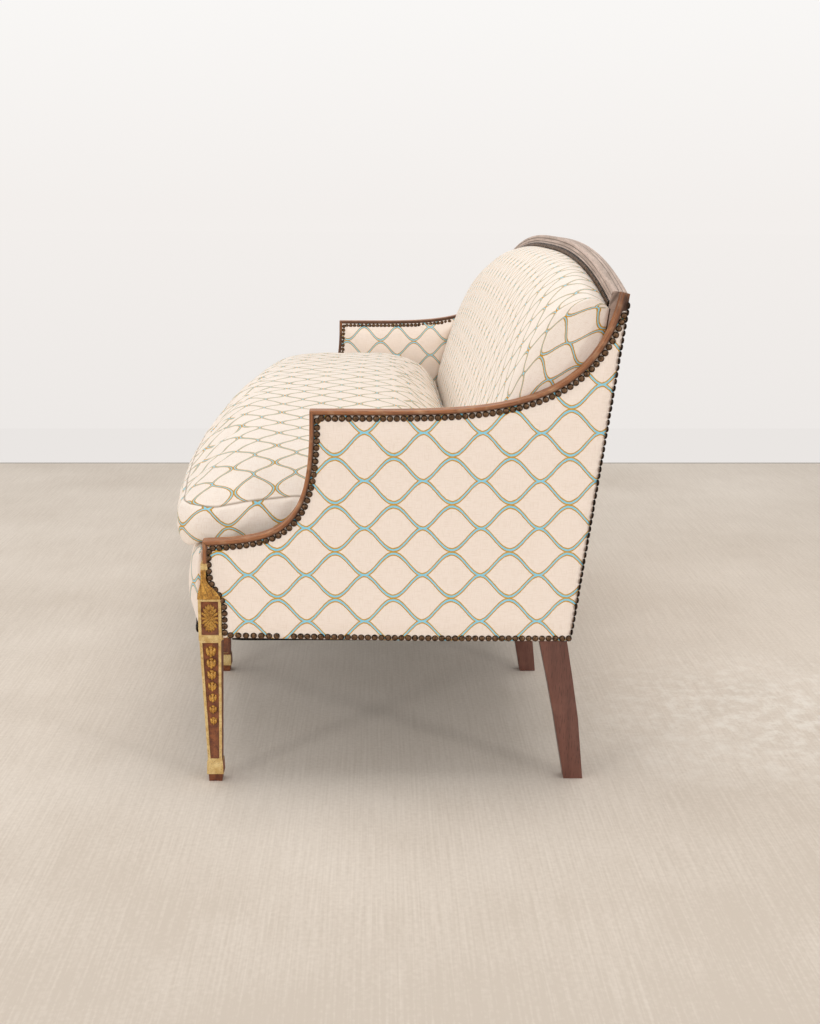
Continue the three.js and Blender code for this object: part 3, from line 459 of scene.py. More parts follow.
def contains(outline: np.ndarray, points: np.ndarray) -> np.ndarray:
    """Tells which points lie inside a closed outline.

    Args:
        outline: The outline's points in order.
        points: The points to test.

    Returns:
        True for each point inside.
    """
    inside = np.zeros(len(points), bool)
    after = np.roll(outline, -1, axis=0)
    for (x0, y0), (x1, y1) in zip(outline, after):
        crosses = (y0 > points[:, 1]) != (y1 > points[:, 1])
        if y0 != y1:
            inside ^= crosses & (points[:, 0] < x0 + (points[:, 1] - y0) * (x1 - x0) / (y1 - y0))
    return inside


def edge_distance(outline: np.ndarray, points: np.ndarray) -> np.ndarray:
    """Measures how far points lie from a closed outline.

    Args:
        outline: The outline's points in order.
        points: The points to measure.

    Returns:
        The least distance for each point.
    """
    least = np.full(len(points), np.inf)
    after = np.roll(outline, -1, axis=0)
    for start, end in zip(outline, after):
        way = end - start
        share = np.clip(((points - start) @ way) / max(way @ way, 1e-12), 0, 1)
        gap = np.linalg.norm(points - start - share[:, None] * way, axis=1)
        least = np.minimum(least, gap)
    return least


def inflate(piece: bpy.types.Object, held: Callable, pressure: float, slack: float, cap: float) -> None:
    """Blows a cover up with a short cloth simulation.

    Args:
        piece: The closed cover.
        held: Takes the points in metres and gives how firmly each is held, from 0 to 1.
        pressure: Pressure inside the cover.
        slack: Share by which the cloth is larger than its shape.
        cap: The most that a point may move, in millimetres.
    """
    mesh = piece.data
    rest = np.zeros(len(mesh.vertices) * 3, np.float32)
    mesh.vertices.foreach_get("co", rest)
    rest = rest.reshape(-1, 3).astype(float)
    group = piece.vertex_groups.new(name="held")
    for i, weight in enumerate(held(rest)):
        group.add([i], float(weight), "REPLACE")
    cloth = piece.modifiers.new("inflate", "CLOTH")
    cloth.settings.use_pressure = True
    cloth.settings.uniform_pressure_force = pressure
    cloth.settings.vertex_group_mass = group.name
    cloth.settings.shrink_min = -slack
    cloth.settings.effector_weights.gravity = 0
    cloth.settings.tension_stiffness = 12
    cloth.settings.compression_stiffness = 12
    cloth.settings.bending_stiffness = 0.4
    cloth.settings.quality = 4
    cloth.collision_settings.use_collision = False
    scene = bpy.context.scene
    for step in range(1, 21):
        scene.frame_set(step)
    shown = piece.evaluated_get(bpy.context.evaluated_depsgraph_get())
    blown = np.zeros(len(mesh.vertices) * 3, np.float32)
    shown.data.vertices.foreach_get("co", blown)
    piece.modifiers.remove(cloth)
    piece.vertex_groups.remove(group)
    scene.frame_set(1)
    move = blown.reshape(-1, 3) - rest
    length = np.linalg.norm(move, axis=1)[:, None]
    limit = cap * MM
    move *= np.where(length > 1e-9, limit * np.tanh(length / limit) / np.maximum(length, 1e-9), 1)
    mesh.vertices.foreach_set("co", (rest + move).astype(np.float32).ravel())
    mesh.update()
    LOG.info("%s: blown up by at most %.1f mm", piece.name, float(length.max()) / MM)


# Node trees


class NodeGraph:
    """A node tree under construction."""

    def __init__(self, tree: bpy.types.NodeTree) -> None:
        """Keeps the tree and empties it."""
        self.tree = tree
        tree.nodes.clear()

    def add(self, kind: str, inputs: dict | None = None, **settings: Any) -> bpy.types.Node:
        """Adds a node with its settings and links.

        Args:
            kind: The node's type name.
            inputs: Values or sockets to link, by the name or number of the node's input.
            **settings: The node's own settings.

        Returns:
            The new node.
        """
        node = self.tree.nodes.new(kind)
        for key, value in settings.items():
            setattr(node, key, value)
        for key, value in (inputs or {}).items():
            if isinstance(value, bpy.types.NodeSocket):
                self.tree.links.new(value, node.inputs[key])
            else:
                node.inputs[key].default_value = value
        return node


class Surface(NodeGraph):
    """A material with one principled shader."""

    def __init__(self, name: str) -> None:
        """Makes the material and its tree.

        Args:
            name: The material's name.
        """
        self.material = bpy.data.materials.new(name)
        self.material.use_nodes = True
        super().__init__(self.material.node_tree)

    def finished(self, inputs: dict) -> bpy.types.Material:
        """Adds the shader and the output.

        Args:
            inputs: The principled shader's inputs.

        Returns:
            The finished material.
        """
        shader = self.add("ShaderNodeBsdfPrincipled", inputs)
        self.add("ShaderNodeOutputMaterial", {"Surface": shader.outputs[0]})
        return self.material


# Finishes


@dataclass(frozen=True)
class LatticeLinen:
    """Slubbed linen with a woven ogee lattice: an aqua line between two ochre threads."""

    name: str = "slubbed_lattice_linen"
    ground: str = "#F2E4D9"
    shade: str = "#E8D8CA"
    crease: str = "#8A7259"
    aqua: str = "#97D8EC"
    deep_aqua: str = "#7CC6DE"
    ochre: str = "#C79730"
    repeat_across: float = 100.0
    repeat_up: float = 82.6
    swing: float = 38.2
    swing_power: float = 1.82
    flank: float = 0.28
    core: float = 1.6
    band: float = 3.8
    thread: float = 1.3

    def made(self) -> bpy.types.Material:
        """Makes the material; a slub shows as a faint long fleck in the plain ground, and painted shade darkens
        the cover along its seams.
        """
        s = Surface(self.name)
        cloth = s.add("ShaderNodeUVMap", uv_map="cloth")
        drift = s.add("ShaderNodeTexNoise", {"Vector": cloth.outputs[0], "Scale": 160.0, "Detail": 1.0},
                      noise_dimensions="2D")
        split = s.add("ShaderNodeSeparateXYZ", {0: cloth.outputs[0]})
        waver = s.add("ShaderNodeMath", {0: drift.outputs[0], 1: 0.0014, 2: split.outputs[1]},
                      operation="MULTIPLY_ADD")
        turn = s.add("ShaderNodeMath", {0: split.outputs[0], 1: math.pi / (self.repeat_across * MM)},
                     operation="MULTIPLY")
        swing = s.add("ShaderNodeMath", {0: self._rounded(s, turn), 1: self.swing * MM}, operation="MULTIPLY")
        gaps = []
        for way in ("ADD", "SUBTRACT"):
            line = s.add("ShaderNodeMath", {0: waver.outputs[0], 1: swing.outputs[0]}, operation=way)
            gap = s.add("ShaderNodeMath", {0: line.outputs[0], 1: self.repeat_up * MM / 2},
                        operation="PINGPONG")
            gaps.append(gap.outputs[0])
        nearest = s.add("ShaderNodeMath", {0: gaps[0], 1: gaps[1]}, operation="MINIMUM")
        gap = s.add("ShaderNodeMath", {0: nearest.outputs[0], 1: self._slope(s, turn)}, operation="DIVIDE")
        masks = [
            s.add("ShaderNodeMapRange", {0: gap.outputs[0], 1: (reach + 0.3) * MM, 2: (reach - 0.3) * MM})
            for reach in (self.core, self.band)
        ]
        slubs = [self._slub(s, cloth, stretch) for stretch in ((1.0, 14.0, 1.0), (14.0, 1.0, 1.0))]
        slub = s.add("ShaderNodeMath", {0: slubs[0].outputs[0], 1: slubs[1].outputs[0]}, operation="MAXIMUM")
        ground = s.add("ShaderNodeMix", {0: slub.outputs[0], 6: linear(self.ground), 7: linear(self.shade)},
                       data_type="RGBA")
        streak = s.add("ShaderNodeTexNoise", {"Vector": cloth.outputs[0], "Scale": 420.0}, noise_dimensions="2D")
        aqua = s.add("ShaderNodeMix", {0: streak.outputs[0], 6: linear(self.aqua), 7: linear(self.deep_aqua)},
                     data_type="RGBA")
        edged = s.add("ShaderNodeMix", {0: masks[1].outputs[0], 6: ground.outputs[2], 7: linear(self.ochre)},
                      data_type="RGBA")
        colour = s.add("ShaderNodeMix", {0: masks[0].outputs[0], 6: edged.outputs[2], 7: aqua.outputs[2]},
                       data_type="RGBA")
        # Painted shade: where the relief falls below 0.3, at the cushion's seams, the colour darkens towards the
        # crease colour, standing in for the shadow in the seam.
        relief = s.add("ShaderNodeAttribute", attribute_name="relief")
        seam = s.add("ShaderNodeMapRange", {0: relief.outputs["Fac"], 1: 0.3, 2: 0.0, 4: 0.8})
        seam_shaded = s.add("ShaderNodeMix", {0: seam.outputs[0], 6: colour.outputs[2], 7: linear(self.crease)},
                        data_type="RGBA")
        weave = [
            s.add("ShaderNodeTexWave", {"Vector": cloth.outputs[0], "Scale": self._bands(),
                                        "Distortion": 0.6, "Detail": 1.0}, bands_direction=way)
            for way in ("X", "Y")
        ]
        threads = s.add("ShaderNodeMath", {0: weave[0].outputs["Fac"], 1: weave[1].outputs["Fac"]},
                        operation="ADD")
        raised = s.add("ShaderNodeMath", {0: masks[1].outputs[0], 1: 1.5, 2: threads.outputs[0]},
                       operation="MULTIPLY_ADD")
        lumpy = s.add("ShaderNodeMath", {0: slub.outputs[0], 1: 1.2, 2: raised.outputs[0]},
                      operation="MULTIPLY_ADD")
        bump = s.add("ShaderNodeBump", {"Strength": 0.35, "Distance": 0.0002, "Height": lumpy.outputs[0]})
        return s.finished({
            "Base Color": seam_shaded.outputs[2], "Roughness": 0.88, "Normal": bump.outputs[0],
            "Sheen Weight": 0.15, "Sheen Roughness": 0.5, "Specular IOR Level": 0.25})

    def _rounded(self, s: Surface, turn: bpy.types.Node) -> bpy.types.NodeSocket:
        """Swing of the lines: it rests at the crossings, where a pair of lines lies together."""
        wave = s.add("ShaderNodeMath", {0: turn.outputs[0]}, operation="SINE")
        size = s.add("ShaderNodeMath", {0: wave.outputs[0]}, operation="ABSOLUTE")
        return s.add("ShaderNodeMath", {0: size.outputs[0], 1: self.swing_power}, operation="POWER").outputs[0]

    def _slope(self, s: Surface, turn: bpy.types.Node) -> bpy.types.NodeSocket:
        """How much wider a line measures upwards where it runs steeply."""
        double = s.add("ShaderNodeMath", {0: turn.outputs[0], 1: 2.0}, operation="MULTIPLY")
        wave = s.add("ShaderNodeMath", {0: double.outputs[0]}, operation="SINE")
        size = s.add("ShaderNodeMath", {0: wave.outputs[0]}, operation="ABSOLUTE")
        return s.add("ShaderNodeMath", {0: size.outputs[0], 1: self.flank, 2: 1.0},
                     operation="MULTIPLY_ADD").outputs[0]

    def _bands(self) -> float:
        """Scale of the wave texture for one thread; real threads are half as wide."""
        return math.pi / (10 * self.thread * MM)

    def _slub(self, s: Surface, cloth: bpy.types.Node, stretch: tuple) -> bpy.types.Node:
        """Adds the long flecks of one thread direction.

        Args:
            s: The material's graph.
            cloth: The node that gives pattern places.
            stretch: How much finer the flecks are along each axis.

        Returns:
            A node that gives 1 in a fleck.
        """
        turned = s.add("ShaderNodeMapping", {"Vector": cloth.outputs[0], "Scale": stretch})
        fleck = s.add("ShaderNodeTexNoise", {"Vector": turned.outputs[0], "Scale": 60.0, "Detail": 3.0},
                      noise_dimensions="2D")
        return s.add("ShaderNodeMapRange", {0: fleck.outputs[0], 1: 0.5, 2: 0.78})


class Grain(Enum):
    """Where a timber's grain direction comes from."""

    CLOTH = "runs along the piece's own length"
    ACROSS = "runs along the sofa"
    DEEP = "runs from front to back"
    HIGH = "runs up"


@dataclass(frozen=True)
class Timber:
    """Planed or moulded wood: long figure, fine dark pores, and paler rubbed patches."""

    name: str
    early: str
    late: str
    pore: str
    rubbed: str
    roughness: float = 0.5
    coat: float = 0.0
    figure: float = 26.0
    wear: float = 0.25
    depth: float = 0.0003

    def made(self, grain: Grain) -> bpy.types.Material:
        """Makes the material.

        Args:
            grain: The direction of the grain.

        Returns:
            The material.
        """
        s = Surface(f"{self.name}_{grain.name.lower()}")
        long, wide = 1.0 / 12, 1.0
        if grain is Grain.CLOTH:
            place = s.add("ShaderNodeUVMap", uv_map="cloth")
            stretch = (long, wide, wide)
        else:
            place = s.add("ShaderNodeTexCoord")
            axis = {Grain.ACROSS: 0, Grain.DEEP: 1, Grain.HIGH: 2}[grain]
            stretch = tuple(long if k == axis else wide for k in range(3))
        source = place.outputs["UV"] if grain is Grain.CLOTH else place.outputs["Object"]
        turned = s.add("ShaderNodeMapping", {"Vector": source, "Scale": stretch})
        figure = s.add("ShaderNodeTexNoise", {
            "Vector": turned.outputs[0], "Scale": 1000 / self.figure, "Detail": 4.0, "Distortion": 0.8})
        fine = s.add("ShaderNodeTexNoise", {"Vector": turned.outputs[0], "Scale": 700.0, "Detail": 2.0})
        patch = s.add("ShaderNodeTexNoise", {"Vector": source, "Scale": 45.0, "Detail": 3.0})
        spread = s.add("ShaderNodeMapRange", {0: figure.outputs[0], 1: 0.35, 2: 0.68})
        body = s.add("ShaderNodeMix", {0: spread.outputs[0], 6: linear(self.early), 7: linear(self.late)},
                     data_type="RGBA")
        pores = s.add("ShaderNodeMapRange", {0: fine.outputs[0], 1: 0.56, 2: 0.72, 4: 0.75})
        pored = s.add("ShaderNodeMix", {0: pores.outputs[0], 6: body.outputs[2], 7: linear(self.pore)},
                      data_type="RGBA")
        worn = s.add("ShaderNodeMapRange", {0: patch.outputs[0], 1: 0.5, 2: 0.8, 4: self.wear})
        colour = s.add("ShaderNodeMix", {0: worn.outputs[0], 6: pored.outputs[2], 7: linear(self.rubbed)},
                       data_type="RGBA")
        if grain is Grain.CLOTH:
            # Darkens towards the pore colour where the relief is low: grime on the rails' handled ends, painted
            # shade along the rails' inner edges, a slight darkening of the rails' flats that leaves their beads
            # as a painted highlight, and darker grooves and worn lines on the rails and the crest.
            relief = s.add("ShaderNodeAttribute", attribute_name="relief")
            grime_and_shade = s.add("ShaderNodeMapRange", {0: relief.outputs["Fac"], 1: 1.0, 2: 0.0, 4: 0.85})
            colour = s.add("ShaderNodeMix", {0: grime_and_shade.outputs[0], 6: colour.outputs[2], 7: linear(self.pore)},
                           data_type="RGBA")
        rough = s.add("ShaderNodeMapRange", {
            0: patch.outputs[0], 1: 0.3, 2: 0.7, 3: self.roughness - 0.08, 4: self.roughness + 0.1})
        bump = s.add("ShaderNodeBump", {
            "Strength": 0.6, "Distance": self.depth, "Height": fine.outputs[0]})
        return s.finished({
            "Base Color": colour.outputs[2], "Roughness": rough.outputs[0], "Normal": bump.outputs[0],
            "Coat Weight": self.coat, "Coat Roughness": 0.25})


@dataclass(frozen=True)
class WornPaint:
    """Old paint or gilding on a red-brown ground that shows in the hollows and rubs."""

    name: str
    proud: str
    dull: str
    hollow: str
    metallic: float = 0.0
    roughness: float = 0.5
    rubbed: float = 0.25

    def made(self) -> bpy.types.Material:
        """Makes the material; the piece's relief tells the hollows from the proud parts."""
        s = Surface(self.name)
        place = s.add("ShaderNodeTexCoord")
        relief = s.add("ShaderNodeAttribute", attribute_name="relief")
        cloud = s.add("ShaderNodeTexNoise", {"Vector": place.outputs["Object"], "Scale": 90.0, "Detail": 4.0})
        crackle = s.add("ShaderNodeTexNoise", {
            "Vector": place.outputs["Object"], "Scale": 380.0, "Detail": 3.0, "Roughness": 0.7})
        tone = s.add("ShaderNodeMapRange", {0: cloud.outputs[0], 1: 0.35, 2: 0.65})
        paint = s.add("ShaderNodeMix", {0: tone.outputs[0], 6: linear(self.proud), 7: linear(self.dull)},
                      data_type="RGBA")
        bared = s.add("ShaderNodeMapRange", {0: crackle.outputs[0], 1: 0.66 - self.rubbed * 0.3, 2: 0.74})
        depth = s.add("ShaderNodeMapRange", {0: relief.outputs["Fac"], 1: 0.62, 2: 0.2})
        ground = s.add("ShaderNodeMath", {0: bared.outputs[0], 1: depth.outputs[0]}, operation="MAXIMUM")
        colour = s.add("ShaderNodeMix", {0: ground.outputs[0], 6: paint.outputs[2], 7: linear(self.hollow)},
                       data_type="RGBA")
        bump = s.add("ShaderNodeBump", {"Strength": 0.5, "Distance": 0.0004, "Height": crackle.outputs[0]})
        return s.finished({
            "Base Color": colour.outputs[2], "Roughness": self.roughness, "Metallic": self.metallic,
            "Normal": bump.outputs[0]})


@dataclass(frozen=True)
class AntiqueNail:
    """Pressed brass heads under a dark patina, rubbed paler on the crown."""

    crown: str = "#7D6048"
    rim: str = "#120B07"

    def made(self) -> bpy.types.Material:
        """Makes the material; the rim stays dark, partly patina where polish never reaches and partly painted
        shade for the dark outline round each head.
        """
        s = Surface("patinated_brass_nail")
        relief = s.add("ShaderNodeAttribute", attribute_name="relief")
        place = s.add("ShaderNodeTexCoord")
        spots = s.add("ShaderNodeTexNoise", {"Vector": place.outputs["Object"], "Scale": 260.0, "Detail": 2.0})
        mottled = s.add("ShaderNodeMath", {0: relief.outputs["Fac"], 1: spots.outputs[0]}, operation="MULTIPLY")
        tone = s.add("ShaderNodeMapRange", {0: mottled.outputs[0], 1: 0.22, 2: 0.6})
        colour = s.add("ShaderNodeMix", {0: tone.outputs[0], 6: linear(self.rim), 7: linear(self.crown)},
                       data_type="RGBA")
        return s.finished({"Base Color": colour.outputs[2], "Metallic": 0.85, "Roughness": 0.36})


@dataclass(frozen=True)
class PlainCloth:
    """Plain woven cloth whose threads show as a fine cross rib."""

    name: str
    light: str
    dark: str
    thread: float
    roughness: float = 0.9
    on_cloth: bool = False

    def made(self) -> bpy.types.Material:
        """Makes the material on the piece's own cloth places or on the object's."""
        s = Surface(self.name)
        if self.on_cloth:
            source = s.add("ShaderNodeUVMap", uv_map="cloth").outputs[0]
        else:
            source = s.add("ShaderNodeTexCoord").outputs["Object"]
        ribs = [
            s.add("ShaderNodeTexWave", {
                "Vector": source, "Scale": math.pi / (10 * self.thread * MM), "Distortion": 1.0,
                "Detail": 1.0}, bands_direction=way)
            for way in ("X", "Y")
        ]
        rib = s.add("ShaderNodeMath", {0: ribs[0].outputs["Fac"], 1: ribs[1].outputs["Fac"]},
                    operation="MULTIPLY")
        blotch = s.add("ShaderNodeTexNoise", {"Vector": source, "Scale": 25.0, "Detail": 4.0})
        tone = s.add("ShaderNodeMath", {0: rib.outputs[0], 1: blotch.outputs[0]}, operation="MULTIPLY")
        colour = s.add("ShaderNodeMix", {0: tone.outputs[0], 6: linear(self.dark), 7: linear(self.light)},
                       data_type="RGBA")
        bump = s.add("ShaderNodeBump", {"Strength": 0.5, "Distance": 0.0004, "Height": rib.outputs[0]})
        return s.finished({
            "Base Color": colour.outputs[2], "Roughness": self.roughness, "Normal": bump.outputs[0]})


WALNUT = Timber("waxed_walnut", "#B27345", "#814F30", "#3A2114", "#E8C8A2", roughness=0.5, coat=0.04,
                figure=9.0, wear=0.4)
WEATHERED = Timber("weathered_walnut", "#C6AFA2", "#A08B7D", "#4E3F36", "#DCCDC0", roughness=0.62,
                   figure=12.0, wear=0.45, depth=0.0006)
MAHOGANY = Timber("stained_mahogany", "#6F4438", "#57332A", "#331C16", "#8C6152", roughness=0.4, coat=0.2,
                  figure=22.0, wear=0.2)
BEECH = Timber("planed_beech", "#D6B78E", "#BD9A6E", "#94724A", "#E2CBA8", roughness=0.7, figure=30.0)
CREAM_PAINT = WornPaint("cream_ochre_paint", "#D9BE84", "#BF9A5A", "#6B3F22", roughness=0.5, rubbed=0.35)
GILT = WornPaint("rubbed_gilding", "#E2AD52", "#BE883A", "#4A2512", metallic=0.3, roughness=0.4,
                 rubbed=0.85)
RED_GROUND = WornPaint("red_brown_ground", "#8A4E28", "#5E2F1B", "#34170D", roughness=0.55, rubbed=0.4)
JUTE = PlainCloth("jute_webbing", "#B99C6C", "#86693F", 2.5)
CALICO = PlainCloth("unbleached_calico", "#EDE4D2", "#D8CCB5", 1.5, on_cloth=True)
CAMBRIC = PlainCloth("black_cambric", "#2A2826", "#141312", 1.2, roughness=0.7, on_cloth=True)


@dataclass
class Finishes:
    """Every material, made once."""

    linen: bpy.types.Material
    seat_linen: bpy.types.Material
    rail: bpy.types.Material
    crest: bpy.types.Material
    mahogany: bpy.types.Material
    beech: dict
    cream: bpy.types.Material
    gilt: bpy.types.Material
    red: bpy.types.Material
    nail: bpy.types.Material
    jute: bpy.types.Material
    calico: bpy.types.Material
    cambric: bpy.types.Material


def make_finishes() -> Finishes:
    """Makes all the materials."""
    beech = {grain: BEECH.made(grain) for grain in (Grain.ACROSS, Grain.DEEP, Grain.HIGH)}
    return Finishes(
        linen=LatticeLinen().made(),
        seat_linen=LatticeLinen(name="sat_on_lattice_linen", ground="#F4E9DF", core=1.15).made(), rail=WALNUT.made(Grain.CLOTH), crest=WEATHERED.made(Grain.CLOTH),
        mahogany=MAHOGANY.made(Grain.HIGH), beech=beech, cream=CREAM_PAINT.made(), gilt=GILT.made(),
        red=RED_GROUND.made(), nail=AntiqueNail().made(), jute=JUTE.made(), calico=CALICO.made(),
        cambric=CAMBRIC.made())


# Show-wood


@dataclass(frozen=True)
class ShowRails:
    """The moulded stile, swooped rail and top rail of each arm, mitred to each other."""

    width: float = 30.0
    lip: float = 8.0
    round: float = 1.8
    rabbet: float = 6.3
    tongue: float = 20.0
    bead: float = 4.2
    groove: float = 1.7
    stile_foot: float = 400.3
    gap: float = 0.3
    knob: float = 9.0
    handled_end: float = 30.0

    def section(self) -> list[tuple[float, float]]:
        """Section of the moulding: inset from its outer face, and depth below its top."""
        turn = [(math.sin(a), math.cos(a)) for a in np.linspace(0, math.pi / 2, 5)]
        outer = [(self.round * (1 - c), self.round * (1 - s)) for s, c in turn]
        inner = [(self.width - x, d) for x, d in reversed(outer)]
        low = self.lip
        deep = LINES.rail_depth
        tongue = self.rabbet + self.tongue
        return [
            (0.6, low), (0, low - 0.6), (0, low / 2), *outer,
            *self._groove(self.bead), *self._groove(self.width / 2 - self.groove, 0.5),
            *self._groove(self.width - self.bead - self.groove),
            *inner, (self.width, low / 2), (self.width, low - 0.6), (self.width - 0.6, low),
            (tongue, low), (tongue, deep), (self.rabbet, deep), (self.rabbet, low)]

    def _groove(self, start: float, share: float = 1.0) -> list[tuple[float, float]]:
        """A rounded groove cut in the top of the moulding."""
        return [(start + self.groove * t, share * 1.1 * math.sin(math.pi * t)) for t in np.linspace(0, 1, 6)]

    def _relief(self, section: list[tuple[float, float]]) -> list[float]:
        """How far each line of the section is kept from darkening: the grooves and the hidden underside go dark,
        the inner edge gets a painted shadow line where it meets the cover, the outer face is a little darker, and
        the beads at both edges stay paler than the flat between them, a painted highlight.
        """
        return [0.0 if depth > self.lip - 1 or (0.3 < depth and 2 < inset < self.width - 2)
                else 0.1 if inset > self.width - 0.8 else 0.78 if inset < 0.1
                else 0.9 if self.bead < inset < self.width - self.bead - self.groove else 1.0
                for inset, depth in section]

    def swept(self, name: str, path: np.ndarray, start_turn: float, end_turn: float,
              finish: bpy.types.Material) -> bpy.types.Object:
        """Sweeps the moulding along a side path of the right-hand end.

        Args:
            name: The piece's name.
            path: The upper arris as (depth, height) points.
            start_turn: Mitre share at the start.
            end_turn: Mitre share at the end.
            finish: The material.

        Returns:
            The rail.
        """
        section = self.section()
        reach = LINES.rail_depth * 1.15
        path = clear_of_ends(path, reach if start_turn else 0, reach if end_turn else 0)
        lines = [inset_path(path, depth, start_turn, end_turn) for _, depth in section]
        points = np.array([
            [(LINES.half_length - inset, *lines[k][i]) for k, (inset, _) in enumerate(section)]
            for i in range(len(path))])
        along = np.concatenate([[0], np.cumsum(np.linalg.norm(np.diff(path, axis=0), axis=1))])
        closed = np.array(section + section[:1])
        around = np.concatenate([[0], np.cumsum(np.linalg.norm(np.diff(closed, axis=0), axis=1))])
        places = np.stack(np.meshgrid(around, along)[::-1], -1)
        draft = Draft()
        draft.grid(points, places, wrap=True, heights=np.tile(self._relief(section), (len(path), 1)))
        count = len(section)
        for ring in (points[0], points[-1]):
            draft.patch(ring, [list(range(count))], np.array(section))
        return draft.made(name, [finish])

    def build(self, finishes: Finishes) -> None:
        """Builds the three moulded pieces of each arm.

        Args:
            finishes: The materials.
        """
        swoop = LINES.swoop()
        swoop[0, 0] += self.gap
        swoop[-1, 1] -= self.gap / 2
        sweep = LINES.sweep()
        sweep[0, 0] += self.gap / 2
        rise = path_normals(sweep)[0][-1]
        sweep = np.vstack([sweep, sweep[-1] + rise * self.knob])
        stile = np.linspace((0, self.stile_foot), (0, LINES.low_corner - self.gap / 2), 3)
        parts = {
            "front_stile": (stile, 0, 1),
            "arm_swoop_rail": (swoop, 1, 1),
            "arm_top_rail": (sweep, 1, 0),
        }
        for part, (path, start_turn, end_turn) in parts.items():
            right = self.swept(f"right_{part}_moulding", path, start_turn, end_turn, finishes.rail)
            if part == "arm_top_rail":
                self._trim(right)
            left = mirrored(right, f"left_{part}_moulding")
            for piece, (side, _) in zip((right, left), SIDES):
                eased = piece.modifiers.new("eased", "EDGE_SPLIT")
                eased.split_angle = math.radians(50)
                settle(piece, (f"{side}_{part}",))

    def _trim(self, piece: bpy.types.Object) -> None:
        """Cuts the top rail's rear end to the raked back, and darkens it where hands have held it."""
        build = bmesh.new()
        build.from_mesh(piece.data)
        normal = Vector((0, 1, -LINES.lean)).normalized()
        place = Vector(to_row((0, LINES.back_depth(LINES.underside, 0), LINES.underside)))
        cut = bmesh.ops.bisect_plane(
            build, geom=build.verts[:] + build.edges[:] + build.faces[:], plane_co=place,
            plane_no=normal, clear_outer=True)
        rim = [e for e in cut["geom_cut"] if isinstance(e, bmesh.types.BMEdge)]
        bmesh.ops.holes_fill(build, edges=rim)
        bmesh.ops.recalc_face_normals(build, faces=build.faces)
        build.to_mesh(piece.data)
        build.free()
        grime_and_shade = piece.data.attributes["relief"].data
        top = max(vertex.co.z for vertex in piece.data.vertices)
        for vertex, clean_and_unshaded in zip(piece.data.vertices, grime_and_shade):
            if vertex.co.z > top - self.handled_end * MM:
                clean_and_unshaded.value = min(clean_and_unshaded.value, 0.5)


@dataclass(frozen=True)
class Crest:
    """The humped crest rail, reeded along its front and faded by the light."""

    thickness: float = 27.0
    front: float = 30.0
    rear: float = 10.0
    depth: float = 72.0
    rabbet: float = 3.0
    back_inset: float = 5.3
    round: float = 5.0
    reed: float = 7.5
    groove: float = 2.0
    steps: int = 140

    def section(self) -> list[tuple[float, float]]:
        """Section of the rail: inset from the rear face, and depth below its rear arris."""
        turn = np.linspace(0, math.pi / 2, 6)
        crown = [(self.thickness - self.round * (1 - math.sin(a)), self.round * (1 - math.cos(a)))
                 for a in turn]
        top = [self._top_groove(start) for start in (7.0, 14.0)]
        reeds = []
        for k in (1, 2, 3):
            for t in np.linspace(-1, 1, 5):
                reeds.append((self.thickness - 1.3 * (1 - t * t), k * self.reed + t * self.groove / 2))
        under = self.thickness - self.rabbet
        return [
            (0, 1.0), (1.0, 0), *top[0], *top[1], *crown, *reeds, (self.thickness, self.front - 0.8),
            (self.thickness - 0.8, self.front), (under, self.front), (under, self.depth),
            (self.back_inset, self.depth), (self.back_inset, self.rear), (0, self.rear)]

    def _top_groove(self, start: float) -> list[tuple[float, float]]:
        """A shallow line worn in the top."""
        return [(start + self.groove * t, 0.7 * math.sin(math.pi * t)) for t in np.linspace(0, 1, 5)]

    def build(self, finishes: Finishes) -> None:
        """Builds the crest rail.

        Args:
            finishes: The materials.
        """
        section = self.section()
        reach = LINES.half_length - ShowRails().width - 0.3
        x = reach * np.sin(np.pi * (np.arange(self.steps + 1) / self.steps - 0.5))
        height = LINES.crest_at(x)
        size = math.hypot(1, LINES.lean)
        rings = []
        for inset, depth in section:
            ring = LINES.on_back(x, height, inset)
            ring[:, 1] -= depth * LINES.lean / size
            ring[:, 2] -= depth / size
            rings.append(ring)
        points = np.stack(rings, 1)
        along = np.concatenate([[0], np.cumsum(np.hypot(np.diff(x), np.diff(height)))])
        closed = np.array(section + section[:1])
        around = np.concatenate([[0], np.cumsum(np.linalg.norm(np.diff(closed, axis=0), axis=1))])
        places = np.stack(np.meshgrid(around, along)[::-1], -1)
        top = np.array([inset < self.thickness - self.round and 0.3 < depth < 0.8 for inset, depth in section])
        front = np.array([self.thickness - 1.4 < inset < self.thickness - 0.2 and self.round + 0.5 < depth < self.front - 1
                          for inset, depth in section])
        relief = np.where(top | front, 0.15, 1.0)
        draft = Draft()
        draft.grid(points, places, wrap=True, heights=np.tile(relief, (len(x), 1)))
        for ring in (points[0], points[-1]):
            draft.patch(ring, [list(range(len(section)))], np.array(section))
        piece = draft.made("crest_rail_moulding", [finishes.crest])
        split = piece.modifiers.new("eased", "EDGE_SPLIT")
        split.split_angle = math.radians(50)
        settle(piece, ("crest_rail",))


# Coverings


